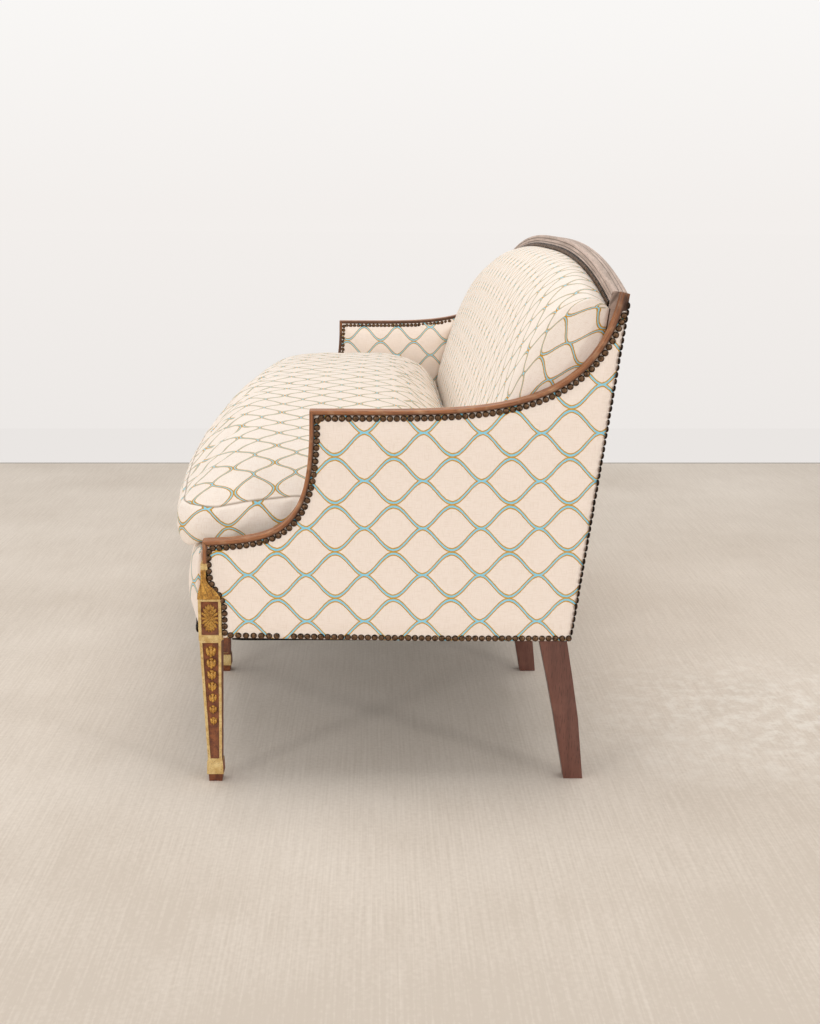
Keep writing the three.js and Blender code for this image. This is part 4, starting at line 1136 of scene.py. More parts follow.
@dataclass(frozen=True)
class TightPanels:
    """The tight outside arms and outside back, drawn flat at their nailed edges."""

    spacing: float = 7.0
    base: float = 994.1
    edge: float = 996.4
    puff: float = 4.6
    ease: float = 34.0
    block: float = 31.0
    block_top: float = 335.0
    shoulder: float = 33.0
    hem: float = 4.7
    back_edge: float = 0.7
    pattern_origin: tuple = (277.4, 628.7)

    def arm_outline(self) -> np.ndarray:
        """Outline of the outside arm as (depth, height) points."""
        clear = ShowRails().lip + 0.3
        swoop = inset_path(clear_of_ends(LINES.swoop(), 12, 12), clear, 1, 1)
        sweep = inset_path(clear_of_ends(LINES.sweep(), 12, 0), clear, 1, 0)
        upper = np.vstack([swoop, sweep[1:]])
        rear = LINES.back_depth(upper[:, 1], self.back_edge)
        upper = upper[(upper[:, 0] < rear - 0.5) & (upper[:, 1] < 834)]
        foot = [
            (self.block, Nails().bottom_at(45) - self.hem), (self.block, self.block_top),
            (self.block * 0.62, self.block_top + self.shoulder * 0.36),
            (clear + 0.3, self.block_top + self.shoulder)]
        head = [(LINES.back_depth(z, self.back_edge), z) for z in (834, Nails().bottom_at(637) - self.hem)]
        hem = [(y, Nails().bottom_at(y) - self.hem) for y in (480, 400, 300, 200, 100)]
        return np.vstack([foot, upper, head, hem])

    def arm(self, finishes: Finishes) -> None:
        """Builds both outside arms.

        Args:
            finishes: The materials.
        """
        flat, faces, count = filled_outline(self.arm_outline(), self.spacing)
        gap = edge_distance(flat[:count], flat)
        swell = smoothstep(0, self.ease, gap)
        waves = ripple(np.column_stack([flat, np.zeros(len(flat))]), 90.0, 1.0)
        out = self.edge + self.puff * swell + 0.5 * waves * swell
        places = flat - self.pattern_origin
        draft = Draft()
        draft.patch(np.column_stack([out, flat]), faces, places)
        self._close(draft, flat, count, places, lambda p: np.column_stack([np.full(len(p), self.base), p]),
                    np.column_stack([out, flat]))
        right = draft.made("right_outside_arm_cover", [finishes.linen])
        left = mirrored(right, "left_outside_arm_cover")
        for piece, (side, _) in zip((right, left), SIDES):
            settle(piece, (f"{side}_outside_arm_panel",))

    def _close(self, draft: Draft, flat: np.ndarray, count: int, places: np.ndarray, under: Callable,
               front: np.ndarray) -> None:
        """Adds the flat underside and the narrow edge of a panel.

        Args:
            draft: The panel's draft.
            flat: The panel's plane points, its outline's first.
            count: How many points the outline has.
            places: Pattern places of the points.
            under: Puts plane points on the underside.
            front: The panel's front points.
        """
        rim = np.vstack([flat[:count], flat[:1]])
        rim_places = np.vstack([places[:count], places[:1]])
        wall = np.stack([under(rim), np.vstack([front[:count], front[:1]])])
        draft.grid(wall, np.stack([rim_places, rim_places]))
        draft.patch(under(flat[:count]), [list(range(count))], places[:count])

    def back(self, finishes: Finishes) -> None:
        """Builds the outside back.

        Args:
            finishes: The materials.
        """
        reach = self.base - 0.5
        inner = LINES.half_length - 30
        x = np.linspace(inner, -inner, 61)
        lip = 10.3
        corner = LINES.crest_at(inner) - lip - 0.7
        low = LINES.underside + 1
        outline = np.vstack([
            [(-reach, low), (reach, low), (reach, corner), (inner + 0.3, corner)],
            np.column_stack([x, LINES.crest_at(x) - lip]), [(-inner - 0.3, corner), (-reach, corner)]])
        flat, faces, count = filled_outline(outline, 14.0)
        gap = edge_distance(flat[:count], flat)
        swell = smoothstep(0, self.ease, gap)
        waves = ripple(np.column_stack([flat, np.zeros(len(flat))]), 160.0, 4.0)
        inset = self.back_edge - 2.5 * swell - 0.7 * waves * swell
        places = flat - (0.0, self.pattern_origin[1])
        front = LINES.on_back(flat[:, 0], flat[:, 1], inset)
        draft = Draft()
        draft.patch(front, faces, places)
        self._close(draft, flat, count, places, lambda p: LINES.on_back(p[:, 0], p[:, 1], 4.9), front)
        piece = draft.made("outside_back_cover", [finishes.linen])
        settle(piece, ("outside_back_panel",))


@dataclass(frozen=True)
class InsideArms:
    """The tight padded inside arms, nailed under the rails."""

    outer: float = 973.2
    edge: float = 967.0
    puff: float = 27.0
    ease: float = 75.0
    spacing: float = 8.0
    front_lead: float = 25.0
    pattern_origin: tuple = (259.3, 649.0)
    nail_band: float = 10.0

    def outline(self) -> np.ndarray:
        """Outline of the inside arm as (depth, height) points."""
        clear = ShowRails().lip + 0.3
        swoop = inset_path(clear_of_ends(LINES.swoop(), 12, 12), clear, 1, 1)
        swoop = swoop[swoop[:, 0] > LINES.arm_setback - self.front_lead]
        sweep = inset_path(clear_of_ends(LINES.sweep(), 12, 0), clear, 1, 0)[1:]
        upper = np.vstack([swoop, sweep])
        face = LINES.back_depth(upper[:, 1], BackPad().thickness_at(upper[:, 1]))
        upper = upper[upper[:, 0] < face + 30]
        low = LINES.deck_top + 0.5
        rear = [(LINES.back_depth(z, BackPad().thickness_at(z)) + 30, z)
                for z in np.linspace(upper[-1, 1], low, 8)]
        return np.vstack([[(upper[0, 0], low)], upper, rear])

    def build(self, finishes: Finishes) -> None:
        """Builds both inside arms.

        Args:
            finishes: The materials.
        """
        flat, faces, count = filled_outline(self.outline(), self.spacing)
        gap = edge_distance(flat[:count], flat)
        swell = np.sqrt(1 - (1 - np.clip((gap - self.nail_band) / self.ease, 0, 1)) ** 2)
        waves = ripple(np.column_stack([flat, np.zeros(len(flat))]), 70.0, 2.0)
        x = self.edge - self.puff * swell - 1.0 * waves * swell
        places = flat - self.pattern_origin
        front = np.column_stack([x, flat])
        draft = Draft()
        draft.patch(front, faces, places)
        TightPanels()._close(
            draft, flat, count, places, lambda p: np.column_stack([np.full(len(p), self.outer), p]), front)
        right = draft.made("right_inside_arm_cover", [finishes.linen])
        left = mirrored(right, "left_inside_arm_cover")
        for piece, (side, _) in zip((right, left), SIDES):
            settle(piece, (f"{side}_inside_arm_pad",))


@dataclass(frozen=True)
class BackPad:
    """The tight, full inside back, rounded at its ends and nailed under the crest."""

    left_thickness: float = 160.0
    right_thickness: float = 174.0
    end_round: float = 26.0
    rear: float = 26.2
    crest_front: float = 30.0
    long_steps: int = 170
    turn_steps: int = 9
    slim_until: float = 300.0
    full_from: float = 960.0
    slim: tuple = ((0, 0.93), (0.15, 1), (0.45, 0.89), (0.67, 0.76), (0.85, 0.58), (0.95, 0.36),
                   (0.985, 0.2), (1.0, 0.08), (1.0, 0.015))
    full: tuple = ((0, 0.93), (0.15, 1), (0.45, 0.905), (0.67, 0.8), (0.85, 0.655), (0.97, 0.47),
                   (1.025, 0.26), (1.02, 0.1), (1.0, 0.015))
    pattern_rise: float = -8.8
    drawn_across: tuple = ((0, 0), (885, 1053), (927, 1103), (958, 1153), (971, 1203), (984, 1253),
                           (1017, 1303), (1055, 1353), (1100, 1413))

    @property
    def low(self) -> float:
        """Height of the pad's lower edge on the deck."""
        return LINES.deck_top + 0.3

    def profile_points(self, knots: tuple, steps: int = 36) -> np.ndarray:
        """Points of a side profile, as shares of the height and of the thickness."""
        knots = np.array(knots, float)
        padded = np.vstack([2 * knots[0] - knots[1], knots, 2 * knots[-1] - knots[-2]])
        t = np.linspace(0, len(knots) - 1 - 1e-9, steps + 1)
        k = t.astype(int)
        f = (t - k)[:, None]
        a, b, c, d = (padded[k + i] for i in range(4))
        return 0.5 * (2 * b + (c - a) * f + (2 * a - 5 * b + 4 * c - d) * f**2 + (3 * b - a - 3 * c + d) * f**3)

    def shape_at(self, x: np.ndarray) -> tuple[np.ndarray, np.ndarray]:
        """The side profile at places along the sofa; it is fuller towards the right end.

        Args:
            x: Places along the sofa.

        Returns:
            Shares of the height, and thicknesses, one row for each place.
        """
        x = np.asarray(x, float)[:, None]
        fullness = smoothstep(self.slim_until, self.full_from, x)
        slim, full = self.profile_points(self.slim), self.profile_points(self.full)
        share = (x / LINES.half_length + 1) / 2
        thickness = self.left_thickness + share * (self.right_thickness - self.left_thickness)
        rise = slim[:, 0] + fullness * (full[:, 0] - slim[:, 0])
        return rise, thickness * (slim[:, 1] + fullness * (full[:, 1] - slim[:, 1]))

    def thickness_at(self, height: np.ndarray, x: float = 930.0) -> np.ndarray:
        """Distance from the rear face to the pad's face at a height."""
        rise = (np.asarray(height, float) - self.low) / (LINES.crest_at(x) - self.crest_front - self.low)
        (shares,), (thick,) = self.shape_at(np.array([x]))
        front = int(np.argmax(shares)) + 1
        return self.rear + np.interp(rise, shares[:front], thick[:front])

    def build(self, finishes: Finishes) -> None:
        """Builds the inside back.

        Args:
            finishes: The materials.
        """
        reach = LINES.half_length - 30.6
        steps = np.arange(self.long_steps + 1) / self.long_steps
        x = reach * np.sin(np.pi * (steps - 0.5))
        share = np.minimum(1, (reach - abs(x)) / self.end_round)
        drawn = self.end_round * (1 - np.sqrt(np.maximum(1 - (1 - share) ** 2, 0)))
        top = LINES.crest_at(x) - self.crest_front
        rise, full = self.shape_at(x)
        most = full.max(1)[:, None]
        thick = np.maximum(full - drawn[:, None] * np.clip(full / most * 1.6, 0, 1), 1.4)
        height = self.low + rise * (top - self.low)[:, None]
        front = LINES.on_back(x[:, None] + 0 * rise, height, self.rear + thick)
        flat = front.reshape(-1, 3)
        wave = ripple(flat * (0.35, 1, 1), 60.0, 3.0) + 0.5 * ripple(flat, 26.0, 5.0)
        soft = (np.clip(thick, 0, 20) / 20).reshape(-1)
        flat[:, 1] += wave * 1.6 * soft
        front = flat.reshape(front.shape)
        heading = np.linalg.norm(np.diff(front[:, rise.shape[1] // 3], axis=0), axis=1)
        along = np.concatenate([[0], np.cumsum(heading)])
        along -= along[-1] / 2
        up = np.linalg.norm(np.diff(front[self.long_steps // 2], axis=0), axis=1)
        climb = np.concatenate([[0], np.cumsum(up)])
        places = np.stack(np.meshgrid(climb, along)[::-1], -1)
        level = self.low + np.clip(rise, 0, 1) * (top - self.low)[:, None]
        behind = LINES.on_back(x[:, None] + 0 * rise, level, self.rear)
        draft = Draft()
        draft.grid(front, self._drawn(places))
        draft.grid(behind, self._drawn(places))
        for k, way in ((0, -1), (-1, 1)):
            self._bridge(draft, front[:, k], behind[:, k], places[:, k], (0, way))
        for k, way in ((0, -1), (-1, 1)):
            self._bridge(draft, front[k], behind[k], places[k], (way, 0))
        piece = draft.made("inside_back_cover", [finishes.seat_linen], merge=0.2)
        settle(piece, ("back_pad",))

    def _bridge(self, draft: Draft, front: np.ndarray, behind: np.ndarray, places: np.ndarray,
                way: tuple) -> None:
        """Turns the cover round an edge of the pad, its pattern running on.

        Args:
            draft: The pad's draft.
            front: Points along the front edge.
            behind: Points along the rear edge.
            places: Pattern places of the front points.
            way: The direction in which the pattern runs on.
        """
        shares = np.linspace(0, 1, self.turn_steps + 1)
        points = np.stack([front + (behind - front) * t for t in shares], 1)
        run = np.linalg.norm(behind - front, axis=1)
        drawn = np.stack([places + (run * t)[:, None] * way for t in shares], 1)
        draft.grid(points, self._drawn(drawn))

    def _drawn(self, places: np.ndarray) -> np.ndarray:
        """Finds the cloth's pattern places, pulled closer together where it turns round the ends."""
        out, up = abs(places[..., 0]), places[..., 1]
        across = np.sign(places[..., 0]) * np.interp(out, *np.array(self.drawn_across).T) - 2.7
        pull = np.interp(out, (890, 970, 1012, 1055), (0, 17, -3, -7)) * smoothstep(288, 478, up)
        pull -= np.interp(out, (900, 960), (0, 15)) * (1 - smoothstep(292, 336, up))
        return np.stack([across, up + self.pattern_rise - pull], -1)


@dataclass(frozen=True)
class FrontBorder:
    """The padded border on the bowed front rail, drawn in at its ends and round the leg heads."""

    low: float = 264.0
    high: float = 414.9
    base: float = 5.0
    crown: float = 22.0
    fullness: float = 0.6
    corner: float = 959.3
    neck: float = 968.4
    inner_leg: float = 360.0
    head_half: float = 20.6
    head_top: float = 335.6
    head_front: float = 57.9
    steps: int = 220
    profile_steps: int = 26

    def build(self, finishes: Finishes) -> None:
        """Builds the border.

        Args:
            finishes: The materials.
        """
        share = np.linspace(0, 1, self.profile_steps + 1)
        t = np.linspace(-1, 1, self.steps + 1)
        reach = self.corner + (self.neck - self.corner) * smoothstep(0.45, 0.72, share)
        x = t[:, None] * reach[None, :]
        z = (self.low + share * (self.high - self.low))[None, :] + 0 * x
        from_end = (reach[None, :] - abs(x)) / 60
        beside = abs(abs(x) - self.inner_leg) - self.head_half
        above = z - self.head_top
        near_head = np.where(above > 0, np.hypot(np.maximum(beside, 0), above), beside) / 26
        ease = np.sqrt(np.clip(np.minimum(from_end, np.maximum(near_head, 0.05)), 0.03, 1))
        out = self.crown * np.maximum(np.sin(np.pi * share), 0)[None, :] ** self.fullness * ease
        y = -LINES.bow_at(x) - 0.3 - self.base - out
        front = np.stack([x, y, z], -1)
        flat = front.reshape(-1, 3)
        flat[:, 1] += 0.9 * ripple(flat, 60.0, 6.0) * (out.reshape(-1) / self.crown)
        front = flat.reshape(front.shape)
        behind = front.copy()
        behind[:, :, 1] = -LINES.bow_at(x) - 0.3
        length = np.linalg.norm(np.diff(front[:, self.profile_steps // 2], axis=0), axis=1)
        along = np.concatenate([[0], np.cumsum(length)])
        along -= along[-1] / 2
        climb = np.concatenate([[0], np.cumsum(np.linalg.norm(np.diff(front[self.steps // 2], axis=0), axis=1))])
        places = np.stack(np.meshgrid(climb, along)[::-1], -1) + (0.0, 30.0)
        draft = Draft()
        draft.grid(front, places)
        draft.grid(behind, places)
        for k in (0, -1):
            draft.grid(np.stack([front[:, k], behind[:, k]], 1), places[:, :2])
            draft.grid(np.stack([front[k], behind[k]], 1), places[:2].transpose(1, 0, 2))
        piece = draft.made("front_border_cover", [finishes.linen])
        self._notch(piece)
        settle(piece, ("front_border",))

    def _notch(self, piece: bpy.types.Object) -> None:
        """Cuts the border round the two inner legs' heads."""
        for side in (1, -1):
            low = to_row((side * self.inner_leg - self.head_half, -80, self.low - 20))
            high = to_row((side * self.inner_leg + self.head_half, 20, self.head_top))
            cutter = bpy.data.objects.new("head", bpy.data.meshes.new("head"))
            build = bmesh.new()
            bmesh.ops.create_cube(build, size=1.0)
            for vert in build.verts:
                vert.co = [low[k] + (vert.co[k] + 0.5) * (high[k] - low[k]) for k in range(3)]
            build.to_mesh(cutter.data)
            build.free()
            bpy.context.scene.collection.objects.link(cutter)
            cut = piece.modifiers.new("head", "BOOLEAN")
            cut.object = cutter
            cut.operation = "DIFFERENCE"
            cut.solver = "EXACT"
            bake(piece)
            bpy.data.objects.remove(cutter)


def bake(piece: bpy.types.Object) -> None:
    """Turns a piece's modifiers into its plain mesh.

    Args:
        piece: The piece.
    """
    shown = piece.evaluated_get(bpy.context.evaluated_depsgraph_get())
    mesh = bpy.data.meshes.new_from_object(shown)
    piece.modifiers.clear()
    old = piece.data
    piece.data = mesh
    mesh.name = piece.name
    bpy.data.meshes.remove(old)


@dataclass(frozen=True)
class BenchCushion:
    """The loose bench cushion: soft filling in a boxed cover with plain seams."""

    half_wide: float = 929.0
    front: float = -42.0
    rear: float = 470.0
    radius: float = 46.0
    low: float = 421.4
    seam: float = 495.0
    end_crown: float = 69.0
    middle_crown: float = 99.0
    fuller_left: float = 10.0
    side_bulge: float = 9.0
    waist: float = 9.0
    spacing: float = 12.0
    sag: float = 11.0
    crease: float = 2.5
    pattern_origin: tuple = (0.0, 48.7)
    pattern_scale: tuple = (1.137, 1.093)
    boxing_origin: tuple = (-28.0, 4.0)
    drawn_across: tuple = ((-1060, -834), (539, 550), (605, 600), (668, 650), (722, 700), (777, 750),
                           (832, 800), (888, 850), (934, 900), (975, 950), (1005, 1000), (1060, 1084))

    def plan(self) -> tuple[np.ndarray, np.ndarray, np.ndarray]:
        """Finds the cushion's plan grid.

        Returns:
            Points about the cushion's middle with rounded corners, their shares of the half
            width and half depth, and the shares that they had before the corners were rounded.
        """
        half_deep = (self.rear - self.front) / 2
        columns = 2 * int(self.half_wide / self.spacing) + 1
        rows = 2 * int(half_deep / self.spacing) + 1
        x, y = np.meshgrid(np.linspace(-1, 1, columns) * self.half_wide, np.linspace(-1, 1, rows) * half_deep)
        a = np.maximum(abs(x) - (self.half_wide - self.radius), 0) / self.radius
        b = np.maximum(abs(y) - (half_deep - self.radius), 0) / self.radius
        round_x = a * np.sqrt(1 - b * b / 2)
        round_y = b * np.sqrt(1 - a * a / 2)
        px = np.sign(x) * (np.minimum(abs(x), self.half_wide - self.radius) + round_x * self.radius)
        py = np.sign(y) * (np.minimum(abs(y), half_deep - self.radius) + round_y * self.radius)
        plan = np.stack([px, py], -1)
        return plan, plan / (self.half_wide, half_deep), np.stack([x / self.half_wide, y / half_deep], -1)

    def placed(self, plan: np.ndarray, shares: np.ndarray, grow: Any, z: Any) -> np.ndarray:
        """Bows the front and draws in the sides of plan points.

        Args:
            plan: Points about the cushion's middle.
            shares: Their shares of the half width and half depth.
            grow: How far the sides stand out, in millimetres.
            z: Their heights.

        Returns:
            The points in the maker's millimetres.
        """
        u, v = shares[..., 0], shares[..., 1]
        edge = np.maximum(abs(u) ** 12, abs(v) ** 12)
        x = plan[..., 0] + grow * edge * u - self.waist * (1 - v**2) * abs(u) ** 8 * np.sign(u)
        bow = LINES.bow * (1 - u**2) * (1 - v) / 2
        y = (self.rear + self.front) / 2 + plan[..., 1] + grow * edge * v - bow
        return np.stack([x, y, z + 0 * x], -1)

    def top_height(self, square: np.ndarray) -> np.ndarray:
        """Height of the top above the seam at square shares of the half width and half depth."""
        u, v = np.clip(square[..., 0], -1, 1), np.clip(square[..., 1], -1, 1)
        crown = self.end_crown + (self.middle_crown - self.end_crown) * (1 - u**2) - self.fuller_left * u
        front = 1 - abs(v) ** 4.2
        rear = (1 - 0.8 * abs(v) ** 4.5) * (1 - abs(v) ** 60)
        return crown * (1 - abs(u) ** 20) * np.where(v < 0, front, rear)

    def seam_height(self, square: np.ndarray) -> np.ndarray:
        """Height of the seam, which sags and lifts between the corners."""
        u, v = np.clip(square[..., 0], -1, 1), np.clip(square[..., 1], -1, 1)
        end = np.interp(v, (-1, -0.77, -0.56, -0.25, 0.2, 1), (487, 481, 491, 500, 499, 495))
        spots = np.stack([u * self.half_wide, 0 * u, 0 * u], -1).reshape(-1, 3)
        front = 490 + 3.5 * ripple(spots, 150.0, 21.0).reshape(u.shape)
        middle = self.seam + (front - self.seam) * np.where(v < 0, abs(v) ** 12, 0)
        return middle + (end - middle) * abs(u) ** 24

    def build(self, finishes: Finishes) -> None:
        """Builds the cushion.

        Args:
            finishes: The materials.
        """
        plan, shares, square = self.plan()
        seam = self.seam_height(square)
        rise = self.top_height(square)
        top = self.placed(plan, shares, -self.crease, seam + rise)
        flat = top.reshape(-1, 3)
        soft = np.clip(rise / 30, 0, 1).reshape(-1)
        crumple = ripple(flat * (0.6, 1, 1), 75.0, 8.0) + 0.55 * ripple(flat, 30.0, 9.0)
        flat[:, 2] += 2.6 * crumple * soft
        top = flat.reshape(top.shape)
        draft = Draft()
        # Relief 0 on the top's edge ring makes the linen paint a dark shade line along the seam.
        clean_and_unshaded = np.zeros(rise.shape)
        clean_and_unshaded[1:-1, 1:-1] = 1.0
        draft.grid(top, self.top_places(plan), heights=clean_and_unshaded)
        seam_line = self._boxing(draft, plan, shares, square, seam)
        dip = self.sag * smoothstep(0.88, 1.0, np.clip(-square[..., 1], 0, 1))
        draft.grid(self.placed(plan, shares, 0.0, self.low - dip), self.top_places(plan))
        piece = draft.made("bench_cushion_cover", [finishes.seat_linen], merge=0.3)
        self._blow_up(piece, seam_line)
        soften = piece.modifiers.new("soften", "SUBSURF")
        soften.levels = soften.render_levels = 1
        bake(piece)
        settle(piece, ("seat_cushion",), body="cushion")

    def top_places(self, plan: np.ndarray) -> np.ndarray:
        """Pattern places of the top and the underside, pulled askew where the cover is slack."""
        u, v = np.moveaxis(plan * self.pattern_scale + self.pattern_origin, -1, 0)
        askew = np.clip(832 - u, 0, 350) * np.maximum(-45 - v, 0) * 0.0018 * smoothstep(-200, 480, u)
        across = np.interp(u + askew, *np.array(self.drawn_across).T)
        return np.stack([across, 1.03 * v + np.interp(u, (600, 828, 935, 1005), (0, 3, 9, 13))], -1)

    def _boxing(self, draft: Draft, plan: np.ndarray, shares: np.ndarray, square: np.ndarray,
                seam: np.ndarray) -> np.ndarray:
        """Adds the band round the cushion, gathered a little under its seam.

        Args:
            draft: The cushion's draft.
            plan: Plan points about the cushion's middle.
            shares: Their shares of the half width and half depth.
            square: The shares before the corners were rounded.
            seam: Heights of the seam.

        Returns:
            Points along the seam.
        """
        rim, rim_shares, rim_square, top = (self._rim(grid) for grid in (plan, shares, square, seam))
        lengths = np.linalg.norm(np.diff(np.vstack([rim, rim[:1]]), axis=0), axis=1)
        along = np.concatenate([[0], np.cumsum(lengths)])
        rises = np.array([*np.linspace(0, 0.9, 10), 0.96, 1])
        spots = np.column_stack([rim, np.zeros(len(rim))])
        puckers = ripple(spots, 17.0, 11.0) + 0.8 * ripple(spots, 40.0, 12.0)
        dip = self.sag * smoothstep(0.88, 1.0, np.clip(-rim_square[:, 1], 0, 1))
        walls = []
        for rise in rises:
            bulge = self.side_bulge * math.sin(math.pi * rise) ** 0.7 if 0 < rise < 1 else 0.0
            near_seam = max(0.0, (rise - 0.4) / 0.6) * (1 - rise) * 4
            grow = bulge + 3.4 * puckers * near_seam - self.crease * (rise == 1)
            z = self.low + rise * (top - self.low) - dip * (1 - rise) ** 1.5
            walls.append(self.placed(rim, rim_shares, grow, z))
        wall = np.stack(walls)
        climb = rises * (self.seam - self.low)
        places = np.stack(np.meshgrid(along, climb), -1) * self.pattern_scale + self.boxing_origin
        # Relief 0 on the band's seam ring makes the linen paint the seam's shade there too.
        clean_and_unshaded = np.tile((rises < 1)[:, None], (1, wall.shape[1]))
        draft.grid(wall, places, wrap=True, heights=clean_and_unshaded.astype(float))
        return wall[-1]

    def _rim(self, grid: np.ndarray) -> np.ndarray:
        """The outer loop of a grid, in order."""
        return np.concatenate([grid[0, :-1], grid[:-1, -1], grid[-1, :0:-1], grid[:0:-1, 0]])

    def _blow_up(self, piece: bpy.types.Object, seam_line: np.ndarray) -> None:
        """Fills the cover, with its seam and its underside held."""
        tree = KDTree(len(seam_line))
        for i, point in enumerate(to_row(seam_line)):
            tree.insert(point, i)
        tree.balance()

        def held(points: np.ndarray) -> np.ndarray:
            """Holds the seam firmly and the underside fast."""
            at_seam = np.array([tree.find(point)[2] < 2 * MM for point in points])
            return np.where(points[:, 2] < (self.low + 6) * MM, 1.0, np.where(at_seam, 0.9, 0.0))

        inflate(piece, held, pressure=3.0, slack=0.02, cap=9.0)


@dataclass(frozen=True)
class Underneath:
    """The padded deck under the cushion and the cambric stretched under the seat."""

    deck_low: float = 411.2
    side: float = 973.0
    corner: float = 959.7
    front: float = 12.0
    rear: float = 588.0
    cover_top: float = 265.6
    cover_sag: float = 9.0

    def deck(self, finishes: Finishes) -> None:
        """Builds the padded deck.

        Args:
            finishes: The materials.
        """
        s, t = np.meshgrid(np.linspace(-1, 1, 121), np.linspace(0, 1, 41))
        half = self.corner + (self.side - self.corner) * smoothstep(0.02, 0.05, t)
        x = s * half
        front = self.front - LINES.bow_at(x)
        y = front + t * (self.rear - front)
        edge = np.minimum(np.minimum(t, 1 - t) * 16, (1 - abs(s)) * 40)
        crown = np.sqrt(np.clip(edge, 0, 1))
        rough = ripple(np.stack([x, y, 0 * x], -1).reshape(-1, 3), 110.0, 14.0).reshape(x.shape)
        z = self.deck_low + 4 + (LINES.deck_top - self.deck_low - 4.6) * crown + 0.5 * rough * crown
        draft = Draft()
        places = np.stack([x, y], -1)
        top = np.stack([x, y, z], -1)
        under = np.stack([x, y, self.deck_low + 0 * z], -1)
        draft.grid(top, places)
        draft.grid(under, places)
        self._walls(draft, top, under, places)
        piece = draft.made("seat_deck_cover", [finishes.calico])
        settle(piece, ("seat_deck",))

    def _walls(self, draft: Draft, top: np.ndarray, under: np.ndarray, places: np.ndarray) -> None:
        """Joins the edges of two sheets of one layout."""
        for k in (0, -1):
            draft.grid(np.stack([top[k], under[k]]), np.stack([places[k], places[k]]))
            draft.grid(np.stack([top[:, k], under[:, k]]), np.stack([places[:, k], places[:, k]]))

    def dust_cover(self, finishes: Finishes) -> None:
        """Builds the cambric, which sags a little between the rails.

        Args:
            finishes: The materials.
        """
        s, t = np.meshgrid(np.linspace(-1, 1, 121), np.linspace(0, 1, 41))
        half = LINES.frame_half - 1
        x = s * half
        front = 1.0 - LINES.bow_at(x)
        y = front + t * (LINES.back_depth(LINES.underside, 6.5) - front)
        hang = smoothstep(0, 0.12, np.minimum(t, 1 - t)) * (0.45 + 0.55 * smoothstep(0, 0.03, 1 - abs(s)))
        rough = ripple(np.stack([x, y, 0 * x], -1).reshape(-1, 3), 90.0, 15.0).reshape(x.shape)
        z = self.cover_top - self.cover_sag * hang + 1.2 * rough * hang
        legs = [(1000, -10, 960, 40), (380, -58, 340, 20), (1000, 582, 958, 660), (378, 562, 342, 660)]
        keep = np.ones_like(x, bool)
        for x_high, y_low, x_low, y_high in legs:
            keep &= ~((abs(x) > x_low - 1) & (abs(x) < x_high + 1) & (y > y_low - 1) & (y < y_high + 1))
        columns = x.shape[1]
        faces = [
            [r * columns + c, r * columns + c + 1, (r + 1) * columns + c + 1, (r + 1) * columns + c]
            for r in range(x.shape[0] - 1) for c in range(columns - 1)
            if keep[r : r + 2, c : c + 2].all()]
        draft = Draft()
        draft.patch(np.stack([x, y, z], -1).reshape(-1, 3), faces, np.stack([x, y], -1).reshape(-1, 2))
        piece = draft.made("dust_cover_sheet", [finishes.cambric])
        thick = piece.modifiers.new("thick", "SOLIDIFY")
        thick.thickness = 0.0006
        bake(piece)
        settle(piece, ("dust_cover",))


# Legs


